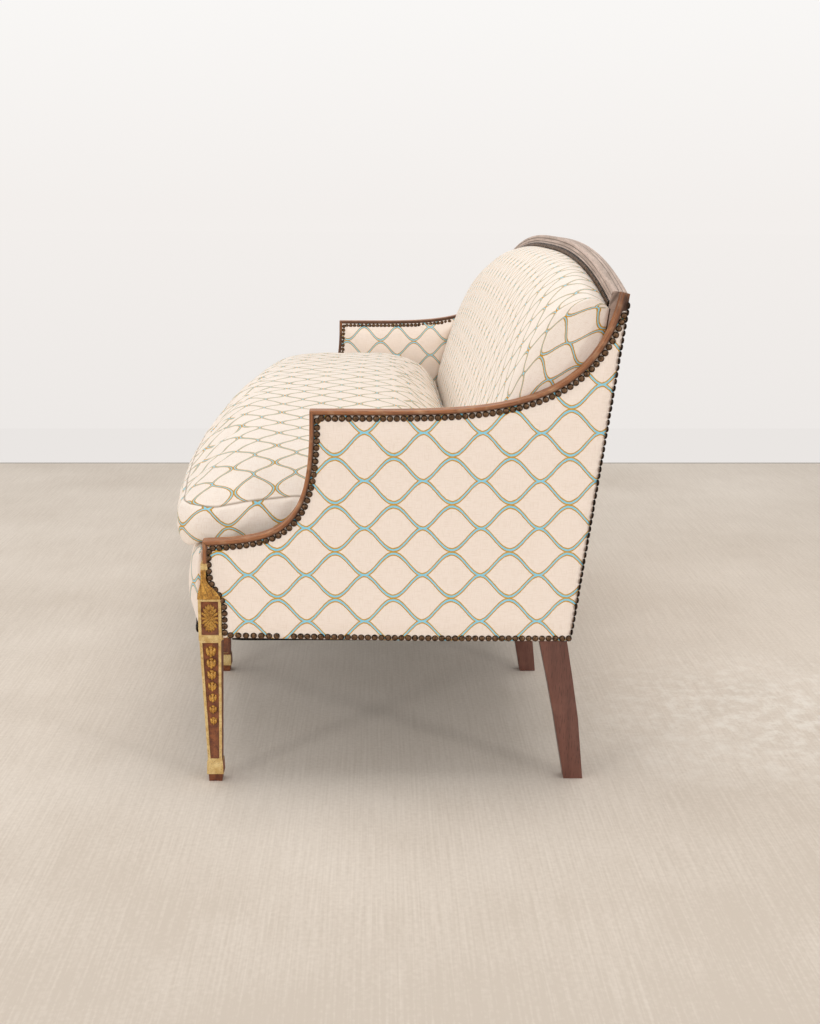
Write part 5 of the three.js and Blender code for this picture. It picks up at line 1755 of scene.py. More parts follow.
@dataclass(frozen=True)
class FrontLegs:
    """The painted front legs with sunk red-brown fields and gilt carving."""

    corner_axis: tuple = (980.0, 10.0)
    inner_axis: tuple = (360.0, -37.87)
    block_bottom: float = 262.0
    block_top: float = 335.0
    block_half: float = 20.0
    shaft_low: float = 38.0
    shaft_low_half: float = 12.5
    setback: float = 3.0
    tip: float = 14.0
    shaft_top_half: float = 19.0
    recess: float = 2.5
    husk_count: int = 7
    husk_pitch: float = 21.4

    def half_at(self, z: float) -> float:
        """Half width of the leg at a height."""
        if z > self.block_bottom:
            return self.block_half
        share = (z - self.shaft_low) / (self.block_bottom - self.shaft_low)
        return self.shaft_low_half + share * (self.shaft_top_half - self.shaft_low_half)

    def back_at(self, z: float) -> float:
        """How far the leg's middle stands back at a height."""
        return self.setback * max(0.0, 1 - z / self.block_bottom)

    def build(self, finishes: Finishes) -> None:
        """Builds the four front legs with their carving.

        Args:
            finishes: The materials.
        """
        for side, way in SIDES:
            for part, axis in (("corner", self.corner_axis), ("inner", self.inner_axis)):
                node = f"{side}_front_{part}_leg"
                leg = softened(node, f"{node}_painted", finishes.cream, 0.9)
                leg.data.materials.append(finishes.red)
                self._paint(leg, (way * axis[0], axis[1]), part == "inner")
                attribute = leg.data.attributes.new("relief", "FLOAT", "POINT")
                attribute.data.foreach_set("value", [1.0] * len(leg.data.vertices))
                settle(leg, (node,))
                self._carve(f"{node}_carving", (way * axis[0], axis[1]), part == "corner", way, finishes)
            self._leaf(f"{side}_shoulder_leaf", way, finishes)

    def _paint(self, leg: bpy.types.Object, axis: tuple, inner: bool) -> None:
        """Leaves the red-brown ground in the sunk fields, behind, on the tip and beside inner legs."""
        centre = to_row((axis[0], axis[1], 0))
        for face in leg.data.polygons:
            spot = (np.array(face.center) - centre) / MM
            z = spot[2]
            spot[1] -= self.back_at(z)
            k = 0 if abs(face.normal.x) > abs(face.normal.y) else 1
            flat = abs(face.normal[k]) > 0.9
            half = self.half_at(z)
            sunk = abs(spot[k]) < half - 0.5 * self.recess and abs(spot[1 - k]) < half - 3.5
            field = flat and sunk and self.shaft_low < z < self.block_top - 1
            rear = face.normal.y > 0.9 and z < self.block_bottom
            beside = inner and k == 0 and flat and self.shaft_low < z < self.block_bottom
            if field or rear or beside or z < self.tip:
                face.material_index = 1

    def _carve(self, name: str, axis: tuple, corner: bool, way: int, finishes: Finishes) -> None:
        """Adds the husks down a leg and the rosettes on its block.

        Args:
            name: The piece's name.
            axis: The leg's middle in plan.
            corner: Whether it is a corner leg, with a rosette on its outer face too.
            way: 1 on the right-hand side and -1 on the left.
            finishes: The materials.
        """
        spots = []
        for out in ((1, 0), (-1, 0), (0, -1)):
            spots += self._husk_spots(axis, out)
        husks = CarvedRepeat(self._husk()).placed(f"{name}_husks", spots, finishes.gilt)
        settle(husks)
        faces = [(0, -1), (way, 0)] if corner else [(0, -1)]
        petals = []
        for out in faces:
            petals += self._petal_spots(axis, out)
        rosettes = CarvedRepeat(self._petal()).placed(f"{name}_rosettes", petals, finishes.gilt)
        settle(rosettes)

    def _husk_spots(self, axis: tuple, out: tuple) -> list["Spot"]:
        """Places of the husks on one face of the shaft, shrinking as they go down."""
        spots = []
        for i in range(self.husk_count):
            z = 241.0 - self.husk_pitch * i
            half = self.half_at(z) - self.recess
            centre = (axis[0] + out[0] * half, axis[1] + self.back_at(z) + out[1] * half, z)
            spots.append(Spot(centre, (*out, 0.0), (0.0, 0.0, 1.0), 1.0 - 0.05 * i))
        return spots

    def _petal_spots(self, axis: tuple, out: tuple) -> list["Spot"]:
        """Places of a rosette's petals and boss, drawn out to an upright oval."""
        side = (-out[1], out[0])
        middle = (self.block_bottom + 10 + self.block_top - 2.5) / 2
        base = self.block_half - self.recess
        spots = []
        for ring, (count, wide, high, size) in enumerate(((18, 10.2, 19.0, 1.0), (12, 5.6, 10.6, 0.85), (6, 2.0, 3.6, 0.6))):
            for i in range(count):
                angle = 2 * math.pi * (i + 0.5 * ring) / count
                a, b = math.cos(angle), math.sin(angle)
                lift = base + 0.6 * ring
                centre = (axis[0] + out[0] * lift + side[0] * wide * a,
                          axis[1] + out[1] * lift + side[1] * wide * a, middle + high * b)
                way = Vector((side[0] * a * wide, side[1] * a * wide, high * b)).normalized()
                spots.append(Spot(centre, (*out, 0.0), tuple(way), size))
        return spots

    def _husk(self) -> Draft:
        """One worn bellflower husk: three rounded lobes hanging from a small cap."""
        draft = Draft()
        for offset, drop, tilt, size in ((0.0, -1.0, 0.0, 1.0), (-5.4, 0.8, 0.16, 0.86), (5.4, 0.8, -0.16, 0.86)):
            draft_petal(draft, 17.0 * size, 8.4 * size, 3.4, (offset, drop), tilt, 1.2, 0.4)
        draft_petal(draft, 6.0, 9.0, 2.8, (0.0, 8.2), 0.0, 1.1, 0.5)
        return draft

    def _petal(self) -> Draft:
        """One blunt petal, hollowed down its middle."""
        draft = Draft()
        draft_petal(draft, 12.0, 5.4, 3.0, (0.0, 0.0), 0.0, 0.55, 0.5)
        return draft

    def _leaf(self, name: str, way: int, finishes: Finishes) -> None:
        """Adds the carved leaf that wraps a corner leg's shoulder and neck.

        Args:
            name: The piece's name.
            way: 1 on the right-hand side and -1 on the left.
            finishes: The materials.
        """
        levels = np.linspace(0, 1, 30)
        z = 336.5 + levels * 52.0
        spread = 1 - smoothstep(0.0, 0.72, levels)
        outer = 1000.0
        width = 30.5 + 9.2 * spread
        front = -3.4 - 6.4 * spread
        back = 5.4 + 24.0 * spread
        around = np.linspace(0, 2 * math.pi, 73)[:-1]
        rings, relief = [], []
        for k, level in enumerate(levels):
            half_w, half_d = width[k] / 2, (back[k] - front[k]) / 2
            c, s = np.cos(around), np.sin(around)
            square = np.maximum(abs(c), abs(s))
            flute = abs(np.sin(around * 6 + 2.2 * level))
            edge = 0.5 + 0.5 * np.sin(levels[k] * math.pi * 5 + around * 3)
            lift = (0.5 + 1.5 * flute * (0.6 + 0.4 * edge)) * (1 - 0.5 * smoothstep(0.9, 1, level))
            x = way * (outer - half_w + (half_w * c / square + lift * c) * 1.0)
            y = (front[k] + back[k]) / 2 + half_d * s / square + lift * s
            y = np.minimum(y, back[k] - 0.5)
            rings.append(np.column_stack([x, y, np.full_like(x, z[k])]))
            relief.append(flute * (0.5 + 0.5 * edge) + 0.25)
        rings = np.array(rings)
        rings[..., 0] = np.clip(rings[..., 0], -outer - 1.2, outer + 1.2)
        draft = Draft()
        closed = np.append(around, 2 * math.pi) * 15
        places = np.stack(np.meshgrid(closed, z), -1)
        draft.grid(rings, places, wrap=True, heights=np.array(relief))
        for ring in (rings[0], rings[-1]):
            draft.patch(ring, [list(range(len(around)))], ring[:, :2])
        piece = draft.made(name, [finishes.gilt])
        settle(piece)


def draft_petal(draft: Draft, length: float, width: float, height: float, offset: tuple, tilt: float,
                middle: float, blunt: float) -> None:
    """Adds a leaf-shaped solid that lies on its back, pointing up its own y axis.

    Args:
        draft: The draft that it joins.
        length: Its length in millimetres.
        width: Its width.
        height: How proud it stands.
        offset: The place of its middle.
        tilt: Its turn in radians.
        middle: Height of its middle line as a share of its height.
        blunt: Power of its outline; the smaller, the blunter.
    """
    along = np.linspace(0, 1, 7)
    rings, relief = [], []
    for t in along:
        half = 0.5 * width * math.sin(math.pi * min(max(t, 0.04), 0.96)) ** blunt
        rise = height * math.sin(math.pi * min(max(0.15 + 0.8 * t, 0.05), 0.97)) ** 0.6
        profile = [(-half, 0.0), (-0.62 * half, rise), (0.0, middle * rise), (0.62 * half, rise), (half, 0.0),
                   (0.0, -0.6)]
        y = (t - 0.5) * length
        ring = [(math.cos(tilt) * px - math.sin(tilt) * y + offset[0],
                 math.sin(tilt) * px + math.cos(tilt) * y + offset[1], pz) for px, pz in profile]
        rings.append(ring)
        relief.append([0.4, 1.0, min(1.0, middle - 0.1), 1.0, 0.4, 0.0])
    rings = np.array(rings)
    places = np.zeros((len(along), 7, 2))
    draft.grid(rings, places, wrap=True, heights=np.array(relief))
    for ring, order in ((rings[0], 1), (rings[-1], -1)):
        draft.patch(ring, [list(range(6))[::order]], np.zeros((6, 2)))


@dataclass(frozen=True)
class Spot:
    """A place for a repeated carving: its middle, the way it faces, its upward way and its size."""

    centre: tuple
    out: tuple
    up: tuple
    size: float = 1.0


class GeometryGraph(NodeGraph):
    """A geometry node group with named inputs."""

    def __init__(self, name: str, inputs: dict[str, tuple[str, Any]]) -> None:
        """Makes the group and its interface.

        Args:
            name: The group's name.
            inputs: The socket type and default of each named input after the geometry.
        """
        tree = bpy.data.node_groups.new(name, "GeometryNodeTree")
        super().__init__(tree)
        tree.interface.new_socket("Geometry", in_out="INPUT", socket_type="NodeSocketGeometry")
        for label, (kind, default) in inputs.items():
            socket = tree.interface.new_socket(label, in_out="INPUT", socket_type=kind)
            if default is not None:
                socket.default_value = default
        tree.interface.new_socket("Geometry", in_out="OUTPUT", socket_type="NodeSocketGeometry")
        self.source = self.add("NodeGroupInput").outputs

    def finished(self, geometry: bpy.types.NodeSocket) -> bpy.types.NodeTree:
        """Realises the instances, gives them their material and ends the tree.

        Args:
            geometry: The instances.

        Returns:
            The node group.
        """
        real = self.add("GeometryNodeRealizeInstances", {0: geometry})
        painted = self.add("GeometryNodeSetMaterial", {0: real.outputs[0], "Material": self.source["Material"]})
        self.add("NodeGroupOutput", {0: painted.outputs[0]})
        return self.tree

    def run(self, points: bpy.types.Object, values: dict[str, Any]) -> bpy.types.Object:
        """Runs the group on an object and keeps the result as a plain mesh.

        Args:
            points: The object that holds the points or paths.
            values: Values of the named inputs.

        Returns:
            The same object with the plain mesh.
        """
        work = points.modifiers.new("repeat", "NODES")
        work.node_group = self.tree
        for item in self.tree.interface.items_tree:
            if item.item_type == "SOCKET" and item.in_out == "INPUT" and item.name in values:
                work[item.identifier] = values[item.name]
        bake(points)
        return points


def points_object(name: str, points: np.ndarray, edges: list, vectors: dict[str, np.ndarray],
                  numbers: dict[str, np.ndarray]) -> bpy.types.Object:
    """Makes an object of loose points or paths with attributes.

    Args:
        name: The object's name.
        points: Points in millimetres.
        edges: Pairs of point numbers.
        vectors: A vector for each point, by attribute name.
        numbers: A number for each point, by attribute name.

    Returns:
        The object.
    """
    mesh = bpy.data.meshes.new(name)
    mesh.from_pydata(to_row(points).tolist(), edges, [])
    for label, values in vectors.items():
        attribute = mesh.attributes.new(label, "FLOAT_VECTOR", "POINT")
        attribute.data.foreach_set("vector", np.asarray(values, np.float32).ravel())
    for label, values in numbers.items():
        attribute = mesh.attributes.new(label, "FLOAT", "POINT")
        attribute.data.foreach_set("value", np.asarray(values, np.float32).ravel())
    made = bpy.data.objects.new(name, mesh)
    bpy.context.scene.collection.objects.link(made)
    return made


@dataclass
class CarvedRepeat:
    """A small carved shape set at many spots by geometry nodes."""

    shape: Draft

    def placed(self, name: str, spots: list[Spot], material: bpy.types.Material) -> bpy.types.Object:
        """Sets the shape at each spot.

        Args:
            name: The piece's name.
            spots: Where the shapes go.
            material: Their material.

        Returns:
            The carving as one piece.
        """
        template = self.shape.made(f"{name}_shape", [material])
        template.data.transform(Matrix.Translation(Vector((0, -DEPTH_ORIGIN * MM, 0))))
        graph = GeometryGraph(f"{name}_tree", {
            "Shape": ("NodeSocketObject", None), "Material": ("NodeSocketMaterial", None)})
        out = graph.add("GeometryNodeInputNamedAttribute", {"Name": "out"}, data_type="FLOAT_VECTOR")
        up = graph.add("GeometryNodeInputNamedAttribute", {"Name": "up"}, data_type="FLOAT_VECTOR")
        size = graph.add("GeometryNodeInputNamedAttribute", {"Name": "size"}, data_type="FLOAT")
        faced = graph.add("FunctionNodeAlignRotationToVector", {"Vector": out.outputs[0]}, axis="Z")
        turned = graph.add("FunctionNodeAlignRotationToVector", {
            "Rotation": faced.outputs[0], "Vector": up.outputs[0]}, axis="Y", pivot_axis="Z")
        shape = graph.add("GeometryNodeObjectInfo", {"Object": graph.source["Shape"]})
        placed = graph.add("GeometryNodeInstanceOnPoints", {
            "Points": graph.source["Geometry"], "Instance": shape.outputs["Geometry"],
            "Rotation": turned.outputs[0], "Scale": size.outputs[0]})
        graph.finished(placed.outputs[0])
        points = points_object(
            name, np.array([s.centre for s in spots]), [],
            {"out": np.array([s.out for s in spots]), "up": np.array([s.up for s in spots])},
            {"size": np.array([s.size for s in spots])})
        graph.run(points, {"Shape": template, "Material": material})
        bpy.data.objects.remove(template)
        return points


@dataclass(frozen=True)
class NailPath:
    """A row of nails: its line in millimetres, and the way that the heads face at each point."""

    line: np.ndarray
    out: np.ndarray


@dataclass(frozen=True)
class Nails:
    """Decorative nails set head to head along every edge of the covers."""

    pitch: float = 11.5
    radius: float = 5.95
    height: float = 3.6
    sides: int = 12
    inset: float = 13.0
    seed: int = 7

    def head(self, material: bpy.types.Material) -> bpy.types.Object:
        """Makes one domed head, closed underneath."""
        rings = [(0.97, -0.35), (1.0, 0.0), (0.97, 0.3), (0.85, 0.62), (0.6, 0.87), (0.3, 0.98)]
        turn = np.linspace(0, 2 * math.pi, self.sides + 1)[:-1]
        points = np.array([
            [(self.radius * r * math.cos(a), self.radius * r * math.sin(a), self.height * z) for a in turn]
            for r, z in rings])
        relief = np.array([[max(0.0, z)] * self.sides for _, z in rings])
        draft = Draft()
        draft.grid(points, np.zeros((len(rings), self.sides + 1, 2)), wrap=True, heights=relief)
        draft.patch(points[0], [list(range(self.sides))], np.zeros((self.sides, 2)))
        draft.patch(points[-1], [list(range(self.sides))], np.zeros((self.sides, 2)))
        head = draft.made("nail_head", [material])
        head.data.transform(Matrix.Translation(Vector((0, -DEPTH_ORIGIN * MM, 0))))
        return head

    def graph(self) -> GeometryGraph:
        """Builds the tree that spaces heads along paths."""
        graph = GeometryGraph("nail_rows", {
            "Head": ("NodeSocketObject", None), "Pitch": ("NodeSocketFloat", self.pitch * MM),
            "Unevenness": ("NodeSocketFloat", 0.06), "Tilt": ("NodeSocketFloat", 0.12),
            "Seed": ("NodeSocketInt", self.seed), "Material": ("NodeSocketMaterial", None)})
        curve = graph.add("GeometryNodeMeshToCurve", {0: graph.source["Geometry"]})
        spaced = graph.add("GeometryNodeResampleCurve", {
            "Curve": curve.outputs[0], "Length": graph.source["Pitch"]}, mode="LENGTH")
        out = graph.add("GeometryNodeInputNamedAttribute", {"Name": "out"}, data_type="FLOAT_VECTOR")
        low = graph.add("ShaderNodeVectorMath", {0: (-1.0, -1.0, -1.0), 3: graph.source["Tilt"]},
                        operation="SCALE")
        high = graph.add("ShaderNodeVectorMath", {0: (1.0, 1.0, 1.0), 3: graph.source["Tilt"]},
                         operation="SCALE")
        lean = graph.add("FunctionNodeRandomValue", {
            0: low.outputs[0], 1: high.outputs[0], "Seed": graph.source["Seed"]}, data_type="FLOAT_VECTOR")
        way = graph.add("ShaderNodeVectorMath", {0: out.outputs[0], 1: lean.outputs[0]}, operation="ADD")
        faced = graph.add("FunctionNodeAlignRotationToVector", {"Vector": way.outputs[0]}, axis="Z")
        least = graph.add("ShaderNodeMath", {0: 1.0, 1: graph.source["Unevenness"]}, operation="SUBTRACT")
        size = graph.add("FunctionNodeRandomValue", {
            2: least.outputs[0], 3: 1.0, "Seed": graph.source["Seed"]}, data_type="FLOAT")
        head = graph.add("GeometryNodeObjectInfo", {"Object": graph.source["Head"]})
        placed = graph.add("GeometryNodeInstanceOnPoints", {
            "Points": spaced.outputs[0], "Instance": head.outputs["Geometry"],
            "Rotation": faced.outputs[0], "Scale": size.outputs[1]})
        graph.finished(placed.outputs[0])
        return graph

    def side_line(self) -> np.ndarray:
        """The row on an outside arm, round the front and over the top, as (depth, height)."""
        swoop = clear_of_ends(LINES.swoop(60), 22, 22)
        sweep = clear_of_ends(LINES.sweep(80), 22, 0)
        upper = np.vstack([inset_path(swoop, 13.0, 0.9, 1), inset_path(sweep, 13.7, 1, 0)[1:]])
        upper = upper[upper[:, 0] < LINES.back_depth(upper[:, 1], 4.5)]
        front = [(35.0, 276.0), (35.6, 316.0), (34.0, 326.0), (31.0, 336.0), (24.0, 347.5), (17.0, 357.5),
                 (12.2, 369.0), (10.2, 381.0), (9.6, 400.0), (9.8, 417.0)]
        return np.vstack([front, upper])

    def bottom_at(self, depth: Any) -> Any:
        """Height of the lowest row on an outside arm, which falls a little towards the rear."""
        return np.interp(depth, (45, 150, 300, 420, 637), (271.4, 269.6, 267.0, 265.6, 265.2))

    def inside_line(self) -> np.ndarray:
        """The row on an inside arm, up its front and along under the rail."""
        swoop = clear_of_ends(LINES.swoop(60), 22, 22)
        swoop = inset_path(swoop, 13.5, 1, 1)
        sweep = inset_path(clear_of_ends(LINES.sweep(80), 22, 0), 13.5, 1, 0)[1:]
        upper = np.vstack([swoop[swoop[:, 0] > LINES.arm_setback - 20], sweep])
        face = LINES.back_depth(upper[:, 1], BackPad().thickness_at(upper[:, 1]))
        return upper[upper[:, 0] < face + 4]

    def rows(self) -> dict[str, list[NailPath]]:
        """Every row of nails, by the piece that it becomes."""
        half = LINES.half_length
        rows: dict[str, list[NailPath]] = {}
        for side, way in SIDES:
            out = (way, 0.0, 0.0)
            side_line = self.side_line()
            outer = way * (half - 3.2)
            depths = np.linspace(45.2, LINES.back_depth(265.2, 3.0), 60)
            bottom = np.column_stack([depths, self.bottom_at(depths)])
            bottoms = [bottom] if way < 0 else [bottom[depths < 134], bottom[depths > 149]]
            flat = [side_line, *bottoms]
            paths = [NailPath(np.column_stack([np.full(len(p), outer), p]), np.tile(out, (len(p), 1)))
                     for p in flat]
            inside = self.inside_line()
            paths.append(NailPath(
                np.column_stack([np.full(len(inside), way * 967.5), inside]),
                np.tile((-way, 0.0, 0.0), (len(inside), 1))))
            z = np.linspace(276, 842, 60)
            rear = LINES.on_back(np.full(60, way * (half - 5.5)), z, 0.2)
            paths.append(NailPath(rear, np.tile((0.0, 1.0, -LINES.lean), (60, 1))))
            rows[f"{side}_arm_nails"] = paths
        return rows | {"crest_nails": self._crest_rows(), "seat_nails": self._seat_rows()}

    def _crest_rows(self) -> list[NailPath]:
        """The rows under the crest, in front and behind, and along the back's lower edge."""
        x = np.linspace(-958, 958, 160)
        height = LINES.crest_at(x)
        front = LINES.on_back(x, height - 24.5, 27.6)
        rear = LINES.on_back(x, height - 16.5, 0.2)
        low = LINES.on_back(x * 1.025, np.full_like(x, 270.0), 0.2)
        ahead = np.tile((0.0, -1.0, LINES.lean), (160, 1))
        return [NailPath(front, ahead), NailPath(rear, -ahead), NailPath(low, -ahead)]

    def _seat_rows(self) -> list[NailPath]:
        """The rows along the front border's lower edge and beside the corner legs."""
        paths = []
        for low, high in ((-950.0, -388.0), (-332.0, 332.0), (388.0, 950.0)):
            x = np.linspace(low, high, 60)
            y = -LINES.bow_at(x) - 12.0
            paths.append(NailPath(
                np.column_stack([x, y, np.full(60, 268.5)]),
                np.column_stack([0 * x, -np.ones(60), np.full(60, -0.35)])))
        for way in (1, -1):
            z = np.linspace(276, 336, 12)
            x = way * (953.0 + 0 * z)
            y = -LINES.bow_at(x) - 7.0
            paths.append(NailPath(np.column_stack([x, y, z]), np.tile((0.25 * way, -1.0, 0.0), (12, 1))))
        return paths

    def build(self, finishes: Finishes) -> None:
        """Sets every nail.

        Args:
            finishes: The materials.
        """
        head = self.head(finishes.nail)
        graph = self.graph()
        for name, paths in self.rows().items():
            points, outs, edges = [], [], []
            for path in paths:
                start = sum(len(p) for p in points)
                points.append(path.line)
                outs.append(path.out / np.linalg.norm(path.out, axis=1)[:, None])
                edges += [(start + i, start + i + 1) for i in range(len(path.line) - 1)]
            piece = points_object(name, np.vstack(points), edges, {"out": np.vstack(outs)}, {})
            graph.run(piece, {"Head": head, "Material": finishes.nail})
            settle(piece)
        bpy.data.objects.remove(head)


# Frame


@dataclass(frozen=True)
class InnerFrame:
    """The hidden beech frame and its webbing, which keep their solid shapes."""

    across: tuple = ("front_seat_rail", "back_seat_rail")
    deep: tuple = ("end_seat_rail", "seat_stretcher", "arm_tack_rail")
    high: tuple = ("front_corner_block", "back_corner_block", "back_upright")
    straps: tuple = (("seat_strap", 12), ("long_strap", 3), ("back_strap", 4))

    def build(self, finishes: Finishes) -> None:
        """Dresses the frame members and straps.

        Args:
            finishes: The materials.
        """
        for node in self.across:
            self._dress(node, finishes.beech[Grain.ACROSS])
        for names, grain in ((self.deep, Grain.DEEP), (self.high, Grain.HIGH)):
            for side, _ in SIDES:
                for name in names:
                    self._dress(f"{side}_{name}", finishes.beech[grain])
        for name, count in self.straps:
            for i in range(count):
                self._dress(f"{name}_{i + 1}", finishes.jute)

    def _dress(self, node: str, material: bpy.types.Material) -> None:
        """Gives a solid node its material."""
        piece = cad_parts[node]
        piece.data.materials.clear()
        piece.data.materials.append(material)


@dataclass(frozen=True)
class BackLegs:
    """The plain raked back legs of stained mahogany, with softened edges."""

    edge: float = 1.8

    def build(self, finishes: Finishes) -> None:
        """Builds the four back legs.

        Args:
            finishes: The materials.
        """
        for side, _ in SIDES:
            for part in ("back_post", "back_inner_leg"):
                node = f"{side}_{part}"
                leg = softened(node, f"{node}_stained", finishes.mahogany, self.edge)
                settle(leg, (node,))


# Studio


@dataclass(frozen=True)
class Studio:
    """The floor, the lamps and the camera at the photograph's place."""

    camera_place: tuple = (3.3938, -0.0186, 0.9978)
    tilt: float = 0.2088
    pan: float = 0.0239
    roll: float = 0.0062
    lens: float = 50.37
    shift: tuple = (-0.5 / 1024, 0.5 / 1024)
    wall_foot: tuple = (0.0115, -2.2595)
    skirting_top: tuple = (0.01737, -3.1938)
    foot_gap: float = 0.022
    foot_shadow: str = "#A9A29A"
    floor_light: str = "#EBE1D6"
    floor_dark: str = "#D4C8BB"
    floor_patch: str = "#FBF7F0"
    patch_place: tuple = (0.65, 0.78, 0.0)
    skirting: str = "#EAE6E3"
    wall_low: str = "#EDE9E6"
    wall_middle: str = "#F3EFEC"
    wall_high: str = "#F9F7F5"
    lamp: str = "#FFFDFA"
    fill_low: float = 1.56
    fill_high: float = 0.3

    def camera(self) -> None:
        """Sets the camera by its pan, tilt and roll."""
        up = Vector((0, 0, 1))
        level = Vector((-math.cos(self.pan), math.sin(self.pan), 0))
        right = Vector((math.sin(self.pan), math.cos(self.pan), 0))
        ahead = math.cos(self.tilt) * level - math.sin(self.tilt) * up
        above = math.sin(self.tilt) * level + math.cos(self.tilt) * up
        turned_right = math.cos(self.roll) * right + math.sin(self.roll) * above
        turned_up = -math.sin(self.roll) * right + math.cos(self.roll) * above
        data = bpy.data.cameras.new("camera")
        data.lens = self.lens
        data.sensor_width = 36.0
        data.shift_x, data.shift_y = self.shift
        camera = bpy.data.objects.new("camera", data)
        bpy.context.scene.collection.objects.link(camera)
        rows = [[turned_right[k], turned_up[k], -ahead[k], self.camera_place[k]] for k in range(3)]
        camera.matrix_world = Matrix([*rows, [0, 0, 0, 1]])
        bpy.context.scene.camera = camera

    def floor(self) -> None:
        """Lays the floor: pale brushed concrete, with the wall painted beyond its foot."""
        s = Surface("brushed_concrete")
        place = s.add("ShaderNodeTexCoord").outputs["Object"]
        broad = s.add("ShaderNodeTexNoise", {"Vector": place, "Scale": 1.3, "Detail": 7.0, "Roughness": 0.6})
        along = s.add("ShaderNodeMapping", {"Vector": place, "Scale": (5.0, 260.0, 1.0)})
        streak = s.add("ShaderNodeTexNoise", {"Vector": along.outputs[0], "Scale": 1.0, "Detail": 2.0})
        fine = s.add("ShaderNodeTexNoise", {"Vector": place, "Scale": 120.0, "Detail": 3.0})
        brushed = s.add("ShaderNodeMath", {0: streak.outputs[0], 1: 0.5, 2: broad.outputs[0]},
                        operation="MULTIPLY_ADD")
        blend = s.add("ShaderNodeMath", {0: fine.outputs[0], 1: 0.45, 2: brushed.outputs[0]},
                      operation="MULTIPLY_ADD")
        split = s.add("ShaderNodeSeparateXYZ", {0: place})
        nearer = s.add("ShaderNodeMapRange", {0: split.outputs[0], 1: 0.3, 2: 2.2, 4: 0.22})
        dulled = s.add("ShaderNodeMath", {0: blend.outputs[0], 1: nearer.outputs[0]}, operation="SUBTRACT")
        tone = s.add("ShaderNodeMapRange", {0: dulled.outputs[0], 1: 0.72, 2: 1.22})
        even = s.add("ShaderNodeMix", {
            0: tone.outputs[0], 6: linear(self.floor_dark), 7: linear(self.floor_light)}, data_type="RGBA")
        colour = s.add("ShaderNodeMix", {
            0: self._patch(s, place), 6: even.outputs[2], 7: linear(self.floor_patch)}, data_type="RGBA")
        shader = s.add("ShaderNodeBsdfPrincipled", {
            "Base Color": colour.outputs[2], "Roughness": 0.8, "Specular IOR Level": 0.15})
        painted = s.add("ShaderNodeEmission", {"Color": self._wall_colour(s, place), "Strength": 1.0})
        beyond = s.add("ShaderNodeMath", {0: self._past(s, place, self.wall_foot), 1: self._seen(s)},
                       operation="MULTIPLY")
        mixed = s.add("ShaderNodeMixShader", {
            0: beyond.outputs[0], 1: shader.outputs[0], 2: painted.outputs[0]})
        s.add("ShaderNodeOutputMaterial", {"Surface": mixed.outputs[0]})
        mesh = bpy.data.meshes.new("floor")
        size = 60.0
        mesh.from_pydata([(-size, -size, 0), (size, -size, 0), (size, size, 0), (-size, size, 0)], [],
                         [(0, 1, 2, 3)])
        mesh.materials.append(s.material)
        floor = bpy.data.objects.new("floor", mesh)
        bpy.context.scene.collection.objects.link(floor)

    def _patch(self, s: NodeGraph, place: bpy.types.NodeSocket) -> bpy.types.NodeSocket:
        """How much of the pale, pitted patch shows in the concrete beside the sofa."""
        gap = s.add("ShaderNodeVectorMath", {0: place, 1: self.patch_place}, operation="DISTANCE")
        pits = s.add("ShaderNodeTexNoise", {"Vector": place, "Scale": 26.0, "Detail": 6.0, "Roughness": 0.7})
        within = s.add("ShaderNodeMapRange", {0: gap.outputs["Value"], 1: 0.5, 2: 0.1})
        flecks = s.add("ShaderNodeMapRange", {0: pits.outputs[0], 1: 0.45, 2: 0.62, 4: 0.5})
        return s.add("ShaderNodeMath", {0: within.outputs[0], 1: flecks.outputs[0]},
                     operation="MULTIPLY").outputs[0]

    def _past(self, s: NodeGraph, place: bpy.types.NodeSocket, line: tuple) -> bpy.types.NodeSocket:
        """Gives 1 beyond a line across the floor, which is its slant and its place."""
        split = s.add("ShaderNodeSeparateXYZ", {0: place})
        slanted = s.add("ShaderNodeMath", {0: split.outputs[1], 1: line[0], 2: split.outputs[0]},
                        operation="MULTIPLY_ADD")
        return s.add("ShaderNodeMath", {0: slanted.outputs[0], 1: line[1]}, operation="LESS_THAN").outputs[0]

    def _wall_colour(self, s: NodeGraph, place: bpy.types.NodeSocket) -> bpy.types.NodeSocket:
        """Colour of the wall at the floor point that the camera would see through it."""
        split = s.add("ShaderNodeSeparateXYZ", {0: place})
        reach = s.add("ShaderNodeMath", {0: self.camera_place[0], 1: split.outputs[0]}, operation="SUBTRACT")
        near = s.add("ShaderNodeMath", {0: 1.0, 1: reach.outputs[0]}, operation="DIVIDE")
        share = s.add("ShaderNodeMapRange", {0: near.outputs[0], 1: 0.0, 2: 0.152})
        wall = s.add("ShaderNodeMix", {
            0: share.outputs[0], 6: linear(self.wall_middle), 7: linear(self.wall_low)}, data_type="RGBA")
        above = self._past(s, place, self.skirting_top)
        painted = s.add("ShaderNodeMix", {0: above, 6: linear(self.skirting), 7: wall.outputs[2]},
                        data_type="RGBA")
        clear = self._past(s, place, (self.wall_foot[0], self.wall_foot[1] - self.foot_gap))
        return s.add("ShaderNodeMix", {0: clear, 6: linear(self.foot_shadow), 7: painted.outputs[2]},
                     data_type="RGBA").outputs[2]

    def _seen(self, g: NodeGraph) -> bpy.types.NodeSocket:
        """Gives 1 for rays that show the backdrop, and 0 for rays that gather light."""
        path = g.add("ShaderNodeLightPath")
        seen = [path.outputs[k] for k in ("Is Camera Ray", "Is Glossy Ray", "Is Transmission Ray")]
        either = g.add("ShaderNodeMath", {0: seen[0], 1: seen[1]}, operation="MAXIMUM")
        return g.add("ShaderNodeMath", {0: either.outputs[0], 1: seen[2]}, operation="MAXIMUM").outputs[0]

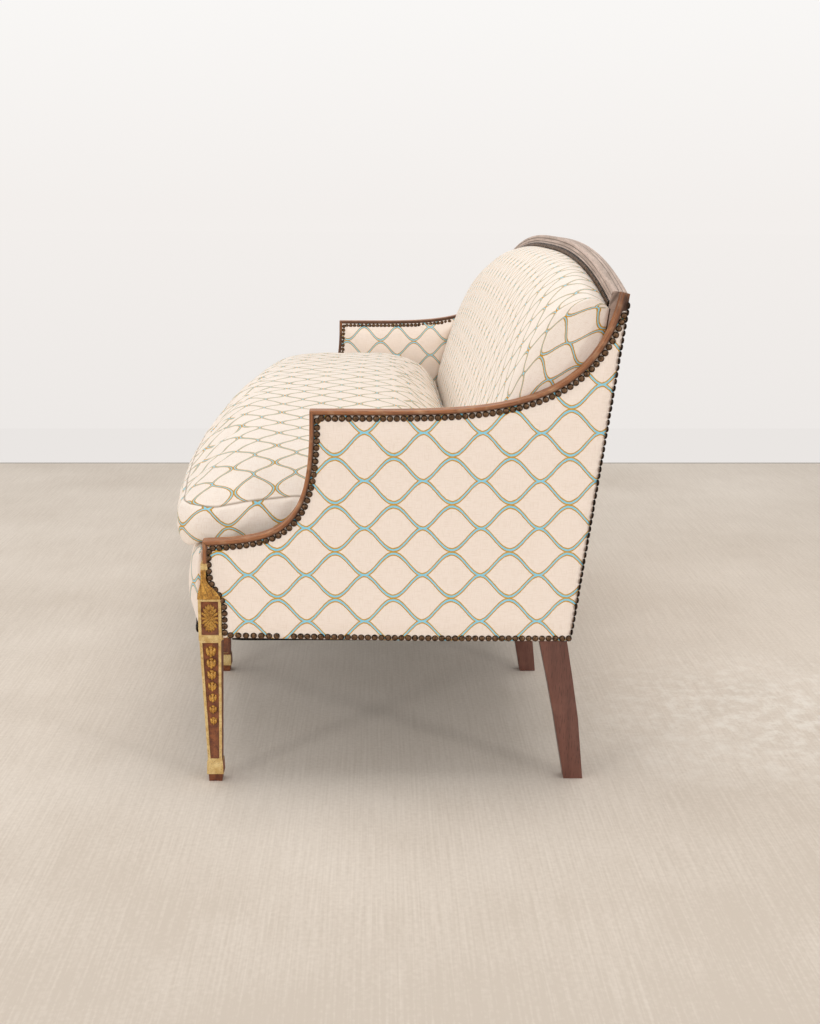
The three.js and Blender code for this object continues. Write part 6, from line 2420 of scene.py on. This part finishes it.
    def world(self) -> None:
        """Lights the studio evenly and shows its wall, brighter upwards, behind the object."""
        world = bpy.data.worlds.new("studio")
        world.use_nodes = True
        g = NodeGraph(world.node_tree)
        way = g.add("ShaderNodeTexCoord")
        split = g.add("ShaderNodeSeparateXYZ", {0: way.outputs["Generated"]})
        rise = g.add("ShaderNodeMapRange", {0: split.outputs[2], 1: 0.0, 2: 0.13})
        shade = g.add("ShaderNodeMix", {
            0: rise.outputs[0], 6: linear(self.wall_middle), 7: linear(self.wall_high)}, data_type="RGBA")
        strength = g.add("ShaderNodeMapRange", {
            0: split.outputs[2], 1: 0.0, 2: 0.9, 3: self.fill_low, 4: self.fill_high})
        fill = g.add("ShaderNodeBackground", {"Color": linear(self.lamp), "Strength": strength.outputs[0]})
        wall = g.add("ShaderNodeBackground", {"Color": shade.outputs[2], "Strength": 1.0})
        mixed = g.add("ShaderNodeMixShader", {0: self._seen(g), 1: fill.outputs[0], 2: wall.outputs[0]})
        g.add("ShaderNodeOutputWorld", {"Surface": mixed.outputs[0]})
        bpy.context.scene.world = world

    def lamps(self) -> None:
        """Stands soft lamps beside the camera and before the sofa, and hangs one over it."""
        target = Vector((0.3, 0.0, 0.45))
        for name, place, size, power in (
            ("left_softbox", (4.1, -2.8, 1.35), 0.35, 21.5),
            ("right_softbox", (3.9, 3.1, 1.35), 0.35, 25.5),
            ("front_softbox", (0.6, -3.8, 2.6), 1.6, 10.0),
            ("overhead", (0.3, 0.0, 3.7), 3.0, 54.0),
        ):
            data = bpy.data.lights.new(name, "AREA")
            data.energy = power
            data.size = size
            data.color = linear(self.lamp)[:3]
            lamp = bpy.data.objects.new(name, data)
            lamp.location = place
            lamp.rotation_mode = "QUATERNION"
            lamp.rotation_quaternion = (Vector(place) - target).to_track_quat("Z", "Y")
            bpy.context.scene.collection.objects.link(lamp)

    def build(self) -> None:
        """Sets up the whole studio."""
        bpy.context.scene.view_settings.view_transform = "Standard"
        self.camera()
        self.floor()
        self.world()
        self.lamps()


def main() -> None:
    """Builds every sub-assembly and the studio."""
    logging.basicConfig(level=logging.INFO, format="%(name)s %(message)s")
    finishes = make_finishes()
    InnerFrame().build(finishes)
    BackLegs().build(finishes)
    FrontLegs().build(finishes)
    ShowRails().build(finishes)
    Crest().build(finishes)
    panels = TightPanels()
    panels.arm(finishes)
    panels.back(finishes)
    InsideArms().build(finishes)
    BackPad().build(finishes)
    FrontBorder().build(finishes)
    under = Underneath()
    under.deck(finishes)
    under.dust_cover(finishes)
    BenchCushion().build(finishes)
    Nails().build(finishes)
    Studio().build()


if __name__ == "__main__":
    main()
